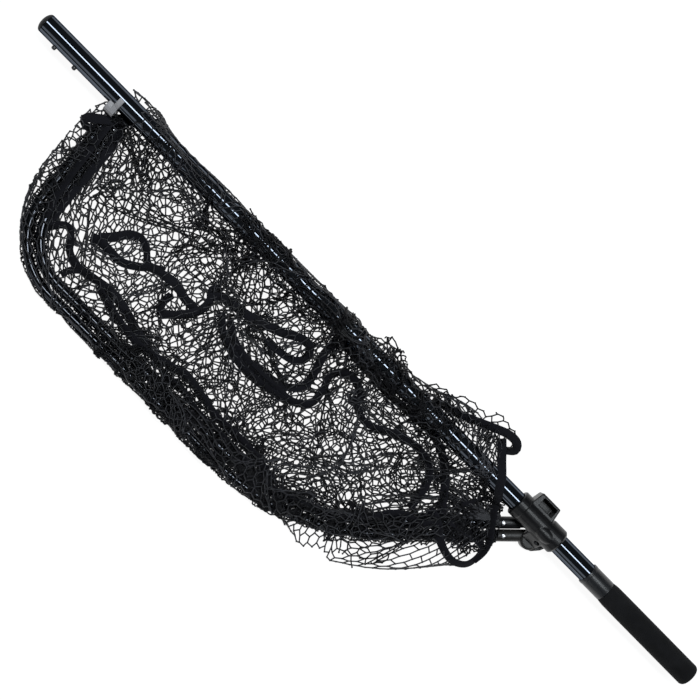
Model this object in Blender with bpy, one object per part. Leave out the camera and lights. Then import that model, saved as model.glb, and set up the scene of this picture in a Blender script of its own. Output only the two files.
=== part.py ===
"""Folding landing net, stowed: a sliding handle, a two-part folding hoop and its net bag.

Frame: metres, +Z up, +X along the handle towards the grip. The origin lies on the surface that
the net rests on, under the middle of the stowed net. Almost everything is drawn in a net frame
whose x runs from the handle's tip, whose y is measured from the handle's axis (the hoop lies on
the -Y side) and whose z is the height above the surface.

Two nested half hoops are hinged on one line under the handle: on a pin through the yoke's lugs
and on a pin through the two front eyes. The outer half is fixed to the yoke. The inner half
swings down and round to the other side. The handle slides through the yoke, and two spring
buttons near its tip lock in the yoke's holes when it is pulled right out.
"""
import math

import bmesh
import bpy
from mathutils import Vector

MM = 0.001
GAP = 0.3 * MM                 # left between pieces that touch or nearly touch

# Whole object, in the net frame
LENGTH = 965 * MM              # tip to grip end
HANDLE_Y = 79.1 * MM           # handle axis from the middle of the stowed net
TUBE_Z = 27.5 * MM             # height of the handle's axis
HOOP_Z = 6.6 * MM              # height of the hoop's plane and of its hinge line

# Handle
TUBE_R = 11 * MM
TUBE_WALL = 1.6 * MM
TUBE_FRONT = 5.8 * MM
TUBE_BACK = 957.5 * MM
TIP_DOME = 5.5 * MM
PLUG_R = TUBE_R - TUBE_WALL - GAP
PLUG_LENGTH = 14 * MM
PLUG_WALL = 1.6 * MM
FERRULE_FRONT = 806 * MM
FERRULE_BACK = 834 * MM
SLEEVE_BORE = TUBE_R + GAP
GRIP_R = 13 * MM
GRIP_ROUND = 5 * MM
TUBE_SIDES = 32

# Snap buttons
BUTTON_X = {"front": 28.5 * MM, "rear": 57 * MM}
BUTTON_R = 2.5 * MM
BUTTON_TOP = 14.3 * MM         # from the handle's axis, standing out
BUTTON_FLANGE_R = 3.7 * MM
BUTTON_FLANGE_TOP = 8.2 * MM
BUTTON_FLANGE_BASE = 7.2 * MM
SPRING_WIDTH = 6 * MM
SPRING_THICK = 0.6 * MM
SPRING_REACH = 22 * MM

# Hoop: two nested halves made of one tube size
HOOP_R = 5.2 * MM
HOOP_WALL = 1.0 * MM
HOOP_SPACING = 13.6 * MM       # between the two halves' centrelines
SIDE_Y = -180 * MM             # inner half's long side
ARM_ANGLE = math.radians(44)   # socket arms, from the handle
ARM_FOOT_X = 734 * MM          # where the inner half's arm line meets the handle's axis
BAR_LEAN = math.radians(6)     # front bars, from square to the handle
BAR_FOOT_X = 126 * MM          # where the inner half's front bar meets the hinge line
SHOULDER_RADIUS = 240 * MM     # inner half, between arm and side
CORNER_RADIUS = 64 * MM        # inner half, between side and front bar
SHOULDER_STEPS = 8
CORNER_STEPS = 9
HOOP_SIDES = 12
HEM_BORE = 5.5 * MM
HEM_R = 6.6 * MM

# Yoke
YOKE_FRONT = 699 * MM
YOKE_BACK = 762 * MM
COLLAR_R = 14.9 * MM
BARREL_R = 14.1 * MM
FRONT_COLLAR_END = 709 * MM
REAR_COLLAR_START = 742 * MM
BUTTON_HOLE_R = 3.2 * MM
LOCK_TRAVEL = 688 * MM         # handle travel at which the buttons reach the yoke's holes
LUG_R = 6.4 * MM
LUGS_X = ((721 * MM, 728.7 * MM), (739.3 * MM, 747 * MM))
KNUCKLE_X = (729.2 * MM, 738.8 * MM)
KNUCKLE_R = 6.2 * MM
NECK_REAR_Y = -2.6 * MM        # the neck's rear side stays clear of the fixed arm as it folds
NECK_REAR_HALF = 5.0 * MM
HINGE_PIN_R = 2.5 * MM
POCKET_BASE_Y = 8 * MM
POCKET_FACE_Y = 25.8 * MM
LOBE_CENTRE = (741 * MM, -19 * MM)
LOBE_R = 10 * MM
LOBE_TOP = 15.6 * MM
TONGUE_TOP = 12.2 * MM

# Sockets and their rivets, as distances along the arm lines from the handle's axis
SOCKET_R = 6.6 * MM
SOCKET_BORE = HOOP_R + GAP
FIXED_SOCKET = (18 * MM, 57 * MM)
FIXED_TUBE_START = 36 * MM
SWING_SOCKET = (17 * MM, 43 * MM)
SWING_TUBE_START = 22 * MM
RIVET_BACK = 7 * MM            # rivet from the socket's mouth
HEM_AFTER_SOCKET = 3 * MM

# Front eyes, as distances along the front bars from the hinge line
EYE_HALF = 5.5 * MM
EYE_BLOCK_R = 5.2 * MM
EYE_BLOCK_END = 19.5 * MM
EYE_SHANK_R = HOOP_R - HOOP_WALL - GAP
EYE_SHANK_END = 34 * MM
BAR_TUBE_END = 20 * MM
BAR_RIVET = 27 * MM
BAR_HEM_END = 36 * MM
FRONT_PIN_R = 2 * MM

# Rivets and screws
RIVET_R = 1.2 * MM
RIVET_HEAD_R = 2.5 * MM
RIVET_BORE = RIVET_R + GAP
SCREW_R = 1.5 * MM
SCREW_BORE = SCREW_R + GAP
SCREW_HEAD_R = 2.7 * MM
ARM_SCREWS_X = 754.5 * MM
ARM_SCREWS_Y = (-6.5 * MM, 6.5 * MM)

# Storage clip
CLIP_FRONT = 106.3 * MM
CLIP_BACK = 118.3 * MM
CLIP_FINGER_FRONT = 112.4 * MM
CLIP_BORE = TUBE_R + GAP
CLIP_OUTER = 13.8 * MM
CLIP_SIDE_Y = -20 * MM
CLIP_FOOT_Z = 13.1 * MM
BUTTON_GROOVE_Y = -14.9 * MM
BUTTON_GROOVE_HALF = 3.4 * MM

# Net bag: the netting's bulk, crumpled over the hoop and the handle
BAG_FRONT = 150 * MM
BAG_BACK = 680 * MM
BAG_STEP = 24 * MM
BAG_HOOP_GAP = 3 * MM
BAG_LOWER_Z = 7 * MM
BAG_UPPER_Z = 13.6 * MM
BAG_ARCH_IN = 15.9 * MM
BAG_ARCH_OUT = 19.2 * MM
BAG_EDGE_Z = 17 * MM
BAG_FAR_EDGE = ((150, 20), (460, 20), (490, 32), (530, 22), (580, 38), (620, 42), (655, 42), (680, 26))
SWING_BAG_BACK = 640 * MM
SWING_BAG_EDGE_Y = -42 * MM
SWING_BAG_LOW = 0.3 * MM
SWING_BAG_HIGH = 5.2 * MM

# Binding tape that lies on the netting, along a route through these points in the net frame
TAPE_HALF_WIDTH = 5 * MM
TAPE_LOW = 14.0 * MM
TAPE_HIGH = 14.9 * MM
TAPE_ROUTE = (
    (195, -120), (215, -102), (240, -90), (265, -98), (292, -99), (312, -82), (338, -68),
    (372, -62), (402, -52), (424, -42), (440, -50), (436, -64), (416, -72), (388, -78), (372, -90),
    (396, -98), (430, -97), (462, -88), (474, -70), (472, -50), (492, -40), (518, -50), (540, -62),
    (562, -52), (590, -42), (612, -50), (622, -66),
)


def make_material(name, colour, roughness, metallic=0.0):
    """Return a Principled material of one plain finish."""
    material = bpy.data.materials.new(name)
    material.use_nodes = True
    shader = material.node_tree.nodes["Principled BSDF"]
    shader.inputs["Base Color"].default_value = (*colour, 1.0)
    shader.inputs["Roughness"].default_value = roughness
    shader.inputs["Metallic"].default_value = metallic
    return material


def make_empty(name, location, parent=None):
    """Return an empty that carries a frame or a joint's axis."""
    empty = bpy.data.objects.new(name, None)
    bpy.context.scene.collection.objects.link(empty)
    empty.location = location
    empty.parent = parent
    return empty


def make_object(name, mesh_data, parent, material=None):
    """Turn a bmesh into a named, smooth-shaded object under a parent frame."""
    bmesh.ops.recalc_face_normals(mesh_data, faces=mesh_data.faces)
    mesh = bpy.data.meshes.new(name)
    mesh_data.to_mesh(mesh)
    mesh_data.free()
    mesh.shade_smooth()
    mesh.set_sharp_from_angle(angle=math.radians(35))
    obj = bpy.data.objects.new(name, mesh)
    bpy.context.scene.collection.objects.link(obj)
    obj.parent = parent
    if material:
        mesh.materials.append(material)
    return obj


def loft(rings, closed=False):
    """Skin a row of equal rings. An open row gets end caps, a closed row joins its last to its first."""
    mesh_data = bmesh.new()
    loops = [[mesh_data.verts.new(point) for point in ring] for ring in rings]
    pairs = list(zip(loops, loops[1:]))
    if closed:
        pairs.append((loops[-1], loops[0]))
    else:
        mesh_data.faces.new(loops[0][::-1])
        mesh_data.faces.new(loops[-1])
    for near, far in pairs:
        for i in range(len(near)):
            j = (i + 1) % len(near)
            mesh_data.faces.new((near[i], near[j], far[j], far[i]))
    return mesh_data


def circle(centre, radius, side, up, count):
    """Return a ring of points round a centre, in the plane of two unit vectors."""
    angles = [2 * math.pi * i / count for i in range(count)]
    return [centre + radius * (math.cos(a) * side + math.sin(a) * up) for a in angles]


def turned(profile, axis="X", centre=(0, 0, 0), hollow=False, sides=TUBE_SIDES):
    """Turn a profile of (distance along the axis, radius). A hollow profile is a closed outline."""
    along, side, up = {
        "X": (Vector((1, 0, 0)), Vector((0, 1, 0)), Vector((0, 0, 1))),
        "Y": (Vector((0, 1, 0)), Vector((0, 0, 1)), Vector((1, 0, 0))),
        "Z": (Vector((0, 0, 1)), Vector((1, 0, 0)), Vector((0, 1, 0))),
    }[axis]
    centre = Vector(centre)
    rings = [circle(centre + place * along, radius, side, up, sides) for place, radius in profile]
    return loft(rings, closed=hollow)


def prism(outline, axis, low, high):
    """Extrude a flat outline from low to high along X (outline in y, z) or Z (outline in x, y)."""
    if axis == "X":
        rings = [[Vector((place, u, v)) for u, v in outline] for place in (low, high)]
    else:
        rings = [[Vector((u, v, place)) for u, v in outline] for place in (low, high)]
    return loft(rings)


def rectangle(low_u, high_u, low_v, high_v):
    return [(low_u, low_v), (high_u, low_v), (high_u, high_v), (low_u, high_v)]


def arc(centre, radius, start_deg, end_deg, steps):
    """Return points on an arc, both ends included."""
    angles = [math.radians(start_deg + (end_deg - start_deg) * i / steps) for i in range(steps + 1)]
    return [(centre[0] + radius * math.cos(a), centre[1] + radius * math.sin(a)) for a in angles]


def sideways(path, i):
    """Return the mitred sideways vector at one point of a flat path."""
    before = (path[i] - path[max(i - 1, 0)]).normalized() if i else None
    after = (path[min(i + 1, len(path) - 1)] - path[i]).normalized() if i < len(path) - 1 else None
    before = before or after
    after = after or before
    heading = (before + after).normalized()
    side = Vector((-heading.y, heading.x, 0))
    return side / heading.dot(after)


def pipe(path, outer, inner=None, sides=HOOP_SIDES):
    """Sweep a round section, solid or hollow, along a path in a level plane."""
    up = Vector((0, 0, 1))

    def rings(radius):
        return [circle_on(path[i], radius, sideways(path, i), up, sides) for i in range(len(path))]

    if inner is None:
        return loft(rings(outer))
    return loft(rings(outer) + rings(inner)[::-1], closed=True)


def circle_on(centre, radius, side, up, count):
    """Return a ring whose sideways axis may be mitred, starting at its lowest point."""
    angles = [2 * math.pi * i / count - math.pi / 2 for i in range(count)]
    return [centre + radius * (math.cos(a) * side + math.sin(a) * up) for a in angles]


def strip(path, half_width, low, high):
    """Return a flat strip along a path in a level plane, from one height to another."""
    rings = []
    for i, point in enumerate(path):
        side = half_width * sideways(path, i)
        corners = ((side, low), (-side, low), (-side, high), (side, high))
        rings.append([point + offset + Vector((0, 0, height)) for offset, height in corners])
    return loft(rings)


def smooth_route(points, pieces=3):
    """Return a Catmull-Rom curve through the points, as vectors in a level plane."""
    points = [Vector((x * MM, y * MM, 0)) for x, y in points]
    points = [2 * points[0] - points[1]] + points + [2 * points[-1] - points[-2]]
    route = []
    for a, b, c, d in zip(points, points[1:], points[2:], points[3:]):
        for i in range(pieces):
            t = i / pieces
            route.append(0.5 * (2 * b + (c - a) * t + (2 * a - 5 * b + 4 * c - d) * t ** 2
                                + (3 * b - a - 3 * c + d) * t ** 3))
    route.append(points[-2])
    return route


def combine(target, operation, mesh_data, bevel=0.0):
    """Join a shape to the target or cut it away. The shape itself isn't a part."""
    number = len(target.modifiers) + 1
    shape = make_object(f"{target.name}_shape_{number}", mesh_data, target.parent)
    shape.hide_render = True
    shape.display_type = "WIRE"
    if bevel:
        rounding = shape.modifiers.new("Rounding", "BEVEL")
        rounding.width = bevel
        rounding.segments = 2
    modifier = target.modifiers.new(f"{operation.title()} {number}", "BOOLEAN")
    modifier.operation = operation
    modifier.solver = "EXACT"
    modifier.object = shape


def join(target, mesh_data, bevel=0.0):
    combine(target, "UNION", mesh_data, bevel)


def cut(target, mesh_data):
    combine(target, "DIFFERENCE", mesh_data)


def rod(start, end, radius, sides=24):
    """Return a straight solid cylinder in a level plane."""
    return pipe([Vector(start), Vector(end)], radius, sides=sides)


# The hoop's lines. The offset is the distance outward from the inner half's centreline.
ARM_HEADING = Vector((-math.cos(ARM_ANGLE), -math.sin(ARM_ANGLE), 0))
ARM_OUTWARD = Vector((math.sin(ARM_ANGLE), -math.cos(ARM_ANGLE), 0))
BAR_HEADING = Vector((math.sin(BAR_LEAN), -math.cos(BAR_LEAN), 0))


def arm_foot(offset):
    return Vector((ARM_FOOT_X + offset / math.sin(ARM_ANGLE), 0, 0))


def bar_foot(offset):
    return Vector((BAR_FOOT_X - offset / math.cos(BAR_LEAN), 0, 0))


def arm_point(offset, distance, outward=0.0):
    return arm_foot(offset) + distance * ARM_HEADING + outward * ARM_OUTWARD


def rounded_corner(before, corner, after, radius, steps):
    """Replace a corner of a level path with an arc."""
    a = (before - corner).normalized()
    b = (after - corner).normalized()
    half_turn = a.angle(b) / 2
    reach = radius / math.tan(half_turn)
    centre = corner + (a + b).normalized() * radius / math.sin(half_turn)
    first = corner + a * reach - centre
    last = corner + b * reach - centre
    turn = first.angle(last)
    if first.cross(last).z < 0:
        turn = -turn
    start = math.atan2(first.y, first.x)
    angles = [start + turn * i / steps for i in range(steps + 1)]
    return [centre + radius * Vector((math.cos(angle), math.sin(angle), 0)) for angle in angles]


def hoop_path(offset, arm_start, bar_end):
    """Return one half's centreline, from its socket round to its front eye."""
    side_y = SIDE_Y - offset
    start = arm_point(offset, arm_start)
    shoulder = arm_point(offset, -side_y / math.sin(ARM_ANGLE))
    corner = bar_foot(offset) - side_y / math.cos(BAR_LEAN) * BAR_HEADING
    end = bar_foot(offset) + bar_end * BAR_HEADING
    path = [start]
    path += rounded_corner(start, shoulder, corner, SHOULDER_RADIUS + offset, SHOULDER_STEPS)
    path += rounded_corner(shoulder, corner, end, CORNER_RADIUS + offset, CORNER_STEPS)
    path.append(end)
    return path


def hoop_inside_y(x, margin):
    """Return the y of the inner half's inner edge at a given x, less a margin."""
    path = hoop_path(-margin, SWING_SOCKET[1], BAR_TUBE_END)
    for a, b in zip(path, path[1:]):
        if b.x <= x <= a.x:
            return a.y + (b.y - a.y) * (x - a.x) / (b.x - a.x)
    return path[-1].y


def dome(start, height, radius, steps):
    """Return a turned profile that rises from near the axis to its full radius."""
    angles = [math.pi / 2 * (0.12 + 0.88 * i / steps) for i in range(steps + 1)]
    return [(start + height * (1 - math.cos(a)), radius * math.sin(a)) for a in angles]


def add_handle(frame, materials):
    """Tube, tip plug, ferrule, grip and butt plug, drawn about the handle's axis."""
    inside = TUBE_R - TUBE_WALL
    tube_profile = [(TUBE_FRONT, TUBE_R), (TUBE_BACK, TUBE_R), (TUBE_BACK, inside), (TUBE_FRONT, inside)]
    tube = make_object("handle_tube", turned(tube_profile, hollow=True), frame, materials["tube"])
    for x in BUTTON_X.values():
        hole = [(-TUBE_R - 2 * MM, BUTTON_R + GAP), (-inside + 3 * MM, BUTTON_R + GAP)]
        cut(tube, turned(hole, "Y", (x, 0, 0), sides=20))

    plug_back = TIP_DOME + PLUG_LENGTH
    plug_profile = dome(0, TIP_DOME, TUBE_R, 7) + [
        (TIP_DOME, PLUG_R), (plug_back, PLUG_R), (plug_back, PLUG_R - PLUG_WALL),
        (TIP_DOME + PLUG_WALL, PLUG_R - PLUG_WALL), (TIP_DOME + PLUG_WALL, 1 * MM)]
    make_object("tip_plug", turned(plug_profile), frame, materials["plug"])

    ferrule_profile = [
        (FERRULE_FRONT, SLEEVE_BORE), (FERRULE_FRONT, 11.9 * MM), (FERRULE_FRONT + 0.6 * MM, 12.4 * MM),
        (FERRULE_FRONT + 4 * MM, 12.4 * MM), (FERRULE_FRONT + 4.5 * MM, 12.1 * MM),
        (FERRULE_BACK, 12.1 * MM), (FERRULE_BACK, SLEEVE_BORE)]
    make_object("grip_ferrule", turned(ferrule_profile, hollow=True), frame, materials["ferrule"])

    grip_front = FERRULE_BACK + GAP
    bottom = TUBE_BACK + GAP
    rounding = arc((LENGTH - GRIP_ROUND, GRIP_R - GRIP_ROUND), GRIP_ROUND, 90, 0, 5)
    grip_profile = [
        (bottom, 1 * MM), (bottom, SLEEVE_BORE), (grip_front, SLEEVE_BORE), (grip_front, 12.0 * MM),
        (grip_front + 2 * MM, 12.5 * MM), (grip_front + 10 * MM, 12.9 * MM),
        (grip_front + 30 * MM, GRIP_R)] + rounding + [(LENGTH, 1 * MM)]
    make_object("foam_grip", turned(grip_profile), frame, materials["grip"])

    butt_back = TUBE_BACK - GAP
    butt_front = butt_back - PLUG_LENGTH
    butt_profile = [
        (butt_back, 1 * MM), (butt_back, PLUG_R), (butt_front, PLUG_R), (butt_front, PLUG_R - PLUG_WALL),
        (butt_back - PLUG_WALL, PLUG_R - PLUG_WALL), (butt_back - PLUG_WALL, 1 * MM)]
    make_object("butt_plug", turned(butt_profile, sides=24), frame, materials["plug"])


def add_snap_button(place, frame, materials):
    """One spring button on its own slide axis, and the leaf spring behind it."""
    x = BUTTON_X[place]
    axis = make_empty(f"snap_axis_{place}", (x, 0, 0), frame)
    profile = [
        (-BUTTON_FLANGE_BASE, BUTTON_FLANGE_R), (-BUTTON_FLANGE_TOP, BUTTON_FLANGE_R),
        (-BUTTON_FLANGE_TOP, BUTTON_R), (-BUTTON_TOP + 1.1 * MM, BUTTON_R),
        (-BUTTON_TOP + 0.4 * MM, 2.0 * MM), (-BUTTON_TOP, 1.1 * MM)]
    make_object(f"snap_button_{place}", turned(profile, "Y", sides=20), axis, materials["button"])

    wall_side = 8.1 * MM
    button_side = -(BUTTON_FLANGE_BASE - GAP - SPRING_THICK / 2)
    bend_x = x + SPRING_REACH - 3 * MM
    bend = [Vector((bx, by, 0)) for bx, by in arc((bend_x, 3 * MM), 3 * MM, -80, 80, 6)]
    path = [Vector((x - 3 * MM, button_side, 0)), Vector((x + 3 * MM, button_side, 0))] + bend
    path += [Vector((x + 8 * MM, wall_side, 0)), Vector((x - 3 * MM, wall_side, 0))]
    leaf = strip(path, SPRING_THICK / 2, -SPRING_WIDTH / 2, SPRING_WIDTH / 2)
    make_object(f"snap_spring_{place}", leaf, frame, materials["steel"])


def lug_outline():
    """Return a lug's outline in y and z: straight sides and a round foot about the hinge line."""
    foot = arc((0, HOOP_Z), LUG_R, 180, 360, 12)
    return [(-LUG_R, 19 * MM)] + foot + [(LUG_R, 19 * MM)]


def add_yoke(frame, materials):
    """The moulded yoke: barrel, pocket, lugs, screw boss and the skirt over the fixed arm."""
    barrel_profile = [
        (YOKE_FRONT, COLLAR_R - 1.3 * MM), (YOKE_FRONT + 1.3 * MM, COLLAR_R),
        (FRONT_COLLAR_END, COLLAR_R), (FRONT_COLLAR_END + 0.8 * MM, BARREL_R),
        (REAR_COLLAR_START, BARREL_R), (REAR_COLLAR_START + 0.8 * MM, COLLAR_R),
        (YOKE_BACK - 2.5 * MM, COLLAR_R), (YOKE_BACK, COLLAR_R - 2.3 * MM)]
    axis = (0, 0, TUBE_Z)
    barrel = turned(barrel_profile, centre=axis)
    yoke = make_object("yoke_body", barrel, frame, materials["yoke"])

    pocket_rings = []
    for y, grow in ((POCKET_BASE_Y, 3 * MM), (POCKET_FACE_Y, 0)):
        corners = rectangle(711.4 * MM - grow, 737.2 * MM + grow, 17.2 * MM - 0.6 * grow, 36.5 * MM + 0.6 * grow)
        pocket_rings.append([Vector((x, y, z)) for x, z in corners])
    join(yoke, loft(pocket_rings), bevel=1.2 * MM)
    for low, high in LUGS_X:
        join(yoke, prism(lug_outline(), "X", low, high))
    join(yoke, prism(rectangle(747.8 * MM, 761.4 * MM, -10.5 * MM, 10.5 * MM), "Z", 12.7 * MM, 21 * MM))
    skirt = [(-6, 38.4), (-10.5, 36.4), (-14.2, 32), (-16.8, 27), (-20.5, 18.4), (-20.5, 16.3), (-6, 16.3)]
    join(yoke, prism([(y * MM, z * MM) for y, z in skirt], "X", 729.5 * MM, 750.5 * MM), bevel=1.5 * MM)
    pad = bmesh.new()
    bmesh.ops.create_uvsphere(pad, u_segments=24, v_segments=12, radius=1)
    bmesh.ops.scale(pad, vec=(14 * MM, 8.6 * MM, 8 * MM), verts=pad.verts)
    bmesh.ops.translate(pad, vec=(743.3 * MM, -3.7 * MM, 35.8 * MM), verts=pad.verts)
    join(yoke, pad)

    cut(yoke, turned([(YOKE_FRONT - 5 * MM, SLEEVE_BORE), (YOKE_BACK + 5 * MM, SLEEVE_BORE)], centre=axis))
    cut(yoke, prism(rectangle(716 * MM, 735 * MM, 13.2 * MM, 22.8 * MM), "Z", 19.5 * MM, 45 * MM))
    for x in BUTTON_X.values():
        hole = [(-8 * MM, BUTTON_HOLE_R), (-26 * MM, BUTTON_HOLE_R)]
        cut(yoke, turned(hole, "Y", (x + LOCK_TRAVEL, 0, TUBE_Z), sides=20))
    pin_bore = [(LUGS_X[0][0] - 2 * MM, HINGE_PIN_R + GAP), (LUGS_X[1][1] + 0.5 * MM, HINGE_PIN_R + GAP)]
    cut(yoke, turned(pin_bore, centre=(0, 0, HOOP_Z), sides=20))
    for y in ARM_SCREWS_Y:
        cut(yoke, turned([(8 * MM, SCREW_BORE), (17.4 * MM, SCREW_BORE)], "Z", (ARM_SCREWS_X, y, 0), sides=12))


def add_fixed_arm(frame, hoop_frame, materials):
    """The fixed half's socket arm, screwed under the yoke's rear collar."""
    mouth = FIXED_SOCKET[1]
    socket = rod(arm_point(HOOP_SPACING, FIXED_SOCKET[0]), arm_point(HOOP_SPACING, mouth), SOCKET_R)
    arm = make_object("fixed_socket_arm", socket, hoop_frame, materials["arm"])
    lobe_profile = [
        (-HOOP_Z, LOBE_R - 0.6 * MM), (-HOOP_Z + 0.6 * MM, LOBE_R),
        (LOBE_TOP - HOOP_Z - 2 * MM, LOBE_R), (LOBE_TOP - HOOP_Z, LOBE_R - 2 * MM)]
    join(arm, turned(lobe_profile, "Z", (*LOBE_CENTRE, 0), sides=32))
    plan = [(741, -9.2), (747.8, -9.2), (747.8, 10), (761, 10), (761, -9), (757, -18), (750, -26), (741, -28)]
    plan = [(x * MM, y * MM) for x, y in plan]
    join(arm, prism(plan, "Z", 2 * MM - HOOP_Z, TONGUE_TOP - HOOP_Z), bevel=0.8 * MM)
    tube_bore = rod(arm_point(HOOP_SPACING, FIXED_TUBE_START - GAP),
                    arm_point(HOOP_SPACING, mouth + 3 * MM), SOCKET_BORE)
    cut(arm, tube_bore)
    for y in ARM_SCREWS_Y:
        place = (ARM_SCREWS_X, y, -HOOP_Z)
        cut(arm, turned([(0, SCREW_HEAD_R + GAP), (5 * MM, SCREW_HEAD_R + GAP)], "Z", place, sides=16))
        cut(arm, turned([(4 * MM, SCREW_BORE), (15 * MM, SCREW_BORE)], "Z", place, sides=12))
    cut_rivet_bore(arm, arm_point(HOOP_SPACING, mouth - RIVET_BACK), SOCKET_R)
    for number, y in enumerate(ARM_SCREWS_Y, start=1):
        profile = [
            (2.6 * MM, 1.6 * MM), (2.6 * MM, SCREW_HEAD_R), (4.7 * MM, SCREW_HEAD_R), (4.7 * MM, SCREW_R),
            (17 * MM, SCREW_R)]
        screw = turned(profile, "Z", (ARM_SCREWS_X, y, 0), sides=16)
        make_object(f"arm_screw_{number}", screw, frame, materials["steel"])


def add_swing_arm(fold_axis, materials):
    """The swing half's socket arm, with its knuckle between the yoke's lugs."""
    mouth = SWING_SOCKET[1]
    socket = rod(arm_point(0, SWING_SOCKET[0]), arm_point(0, mouth), SOCKET_R)
    arm = make_object("swing_socket_arm", socket, fold_axis, materials["yoke"])
    join(arm, turned([(x, KNUCKLE_R) for x in KNUCKLE_X], sides=32))
    low_x, high_x = KNUCKLE_X
    rear = arm_point(0, 25 * MM, NECK_REAR_HALF)
    front = arm_point(0, 20 * MM, -6.2 * MM)
    neck = [
        (low_x, 1 * MM), (high_x, 1 * MM), (high_x, NECK_REAR_Y), (rear.x, rear.y), (front.x, front.y),
        (718.4 * MM, -7.2 * MM), (low_x, -7.2 * MM)]
    join(arm, prism(neck, "Z", -5.3 * MM, 5.3 * MM))
    cut(arm, rod(arm_point(0, SWING_TUBE_START - GAP), arm_point(0, mouth + 3 * MM), SOCKET_BORE))
    pin_bore = [(low_x - 2 * MM, HINGE_PIN_R + GAP), (high_x + 2 * MM, HINGE_PIN_R + GAP)]
    cut(arm, turned(pin_bore, sides=20))
    cut_rivet_bore(arm, arm_point(0, mouth - RIVET_BACK), SOCKET_R)


def cut_rivet_bore(target, place, surface):
    """Drill a rivet's bore down through the top wall at a place."""
    bore = [(0.5 * MM, RIVET_BORE), (surface + 2 * MM, RIVET_BORE)]
    cut(target, turned(bore, "Z", place, sides=12))


def add_rivet(name, place, surface, frame, materials):
    """A blind rivet with a low domed head, pressed in from above."""
    seat = surface + GAP
    profile = [
        (3.2 * MM, RIVET_R), (seat, RIVET_R), (seat, RIVET_HEAD_R), (seat + 0.4 * MM, RIVET_HEAD_R - 0.2 * MM),
        (seat + 0.8 * MM, RIVET_HEAD_R - 1.2 * MM)]
    make_object(name, turned(profile, "Z", place, sides=16), frame, materials["steel"])


def add_front_eye(name, offset, frame, materials, with_clip_pad):
    """The eye on a front bar's end: a knuckle on the hinge line and a shank inside the tube."""
    foot = bar_foot(offset)
    block = rod(foot + 1 * MM * BAR_HEADING, foot + EYE_BLOCK_END * BAR_HEADING, EYE_BLOCK_R)
    eye = make_object(name, block, frame, materials["arm"])
    knuckle = [(foot.x - EYE_HALF, KNUCKLE_R), (foot.x + EYE_HALF, KNUCKLE_R)]
    join(eye, turned(knuckle, sides=32))
    join(eye, rod(foot + 10 * MM * BAR_HEADING, foot + EYE_SHANK_END * BAR_HEADING, EYE_SHANK_R, sides=16))
    if with_clip_pad:
        pad = rectangle(foot.x - 4.9 * MM, foot.x + 5.2 * MM, -18.8 * MM, -9.5 * MM)
        join(eye, prism(pad, "Z", -2 * MM, CLIP_FOOT_Z - GAP - HOOP_Z))
        screw = (*clip_screw_place(), -HOOP_Z)
        cut(eye, turned([(-1 * MM, SCREW_HEAD_R + GAP), (3.4 * MM, SCREW_HEAD_R + GAP)], "Z", screw, sides=16))
        cut(eye, turned([(2 * MM, SCREW_BORE), (16 * MM, SCREW_BORE)], "Z", screw, sides=12))
    pin_bore = [(foot.x - 8 * MM, FRONT_PIN_R + GAP), (foot.x + 8 * MM, FRONT_PIN_R + GAP)]
    cut(eye, turned(pin_bore, sides=16))
    cut_rivet_bore(eye, foot + BAR_RIVET * BAR_HEADING, EYE_SHANK_R)


def clip_screw_place():
    place = bar_foot(HOOP_SPACING) + 14.5 * MM * BAR_HEADING
    return place.x, place.y


def add_storage_clip(frame, materials):
    """The clip on the fixed front bar that holds the stowed handle, and its screw."""
    axis = (0, TUBE_Z)
    groove_start = 180 - math.degrees(math.asin(BUTTON_GROOVE_HALF / CLIP_BORE))
    bore_over = arc(axis, CLIP_BORE, 92, groove_start, 10)
    groove = [
        (BUTTON_GROOVE_Y, TUBE_Z + BUTTON_GROOVE_HALF), (BUTTON_GROOVE_Y, TUBE_Z - BUTTON_GROOVE_HALF)]
    bore_under = arc(axis, CLIP_BORE, 360 - groove_start, 318, 12)
    lip = arc(axis, CLIP_OUTER, 318, 285, 4)
    foot = [(2 * MM, CLIP_FOOT_Z), (CLIP_SIDE_Y + 1 * MM, CLIP_FOOT_Z), (CLIP_SIDE_Y, CLIP_FOOT_Z + 1 * MM)]
    side = [(CLIP_SIDE_Y, TUBE_Z + 3 * MM), (CLIP_SIDE_Y + 2 * MM, TUBE_Z + 6 * MM)]
    over = arc(axis, CLIP_OUTER, 142, 92, 6)
    outline = bore_over + groove + bore_under + lip + foot + side + over
    clip = make_object("storage_clip", prism(outline, "X", CLIP_FRONT, CLIP_BACK), frame, materials["clip"])
    notch = rectangle(CLIP_FRONT - 1 * MM, CLIP_FINGER_FRONT, -CLIP_OUTER - 1 * MM, 5 * MM)
    cut(clip, prism(notch, "Z", TUBE_Z + 7.2 * MM, TUBE_Z + 20 * MM))
    x, y = clip_screw_place()
    cut(clip, turned([(8 * MM, SCREW_BORE), (20.4 * MM, SCREW_BORE)], "Z", (x, y, 0), sides=12))
    profile = [
        (1.0 * MM, 1.6 * MM), (1.0 * MM, SCREW_HEAD_R), (3.1 * MM, SCREW_HEAD_R), (3.1 * MM, SCREW_R),
        (20 * MM, SCREW_R)]
    make_object("clip_screw", turned(profile, "Z", (x, y, 0), sides=16), frame, materials["steel"])


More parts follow.
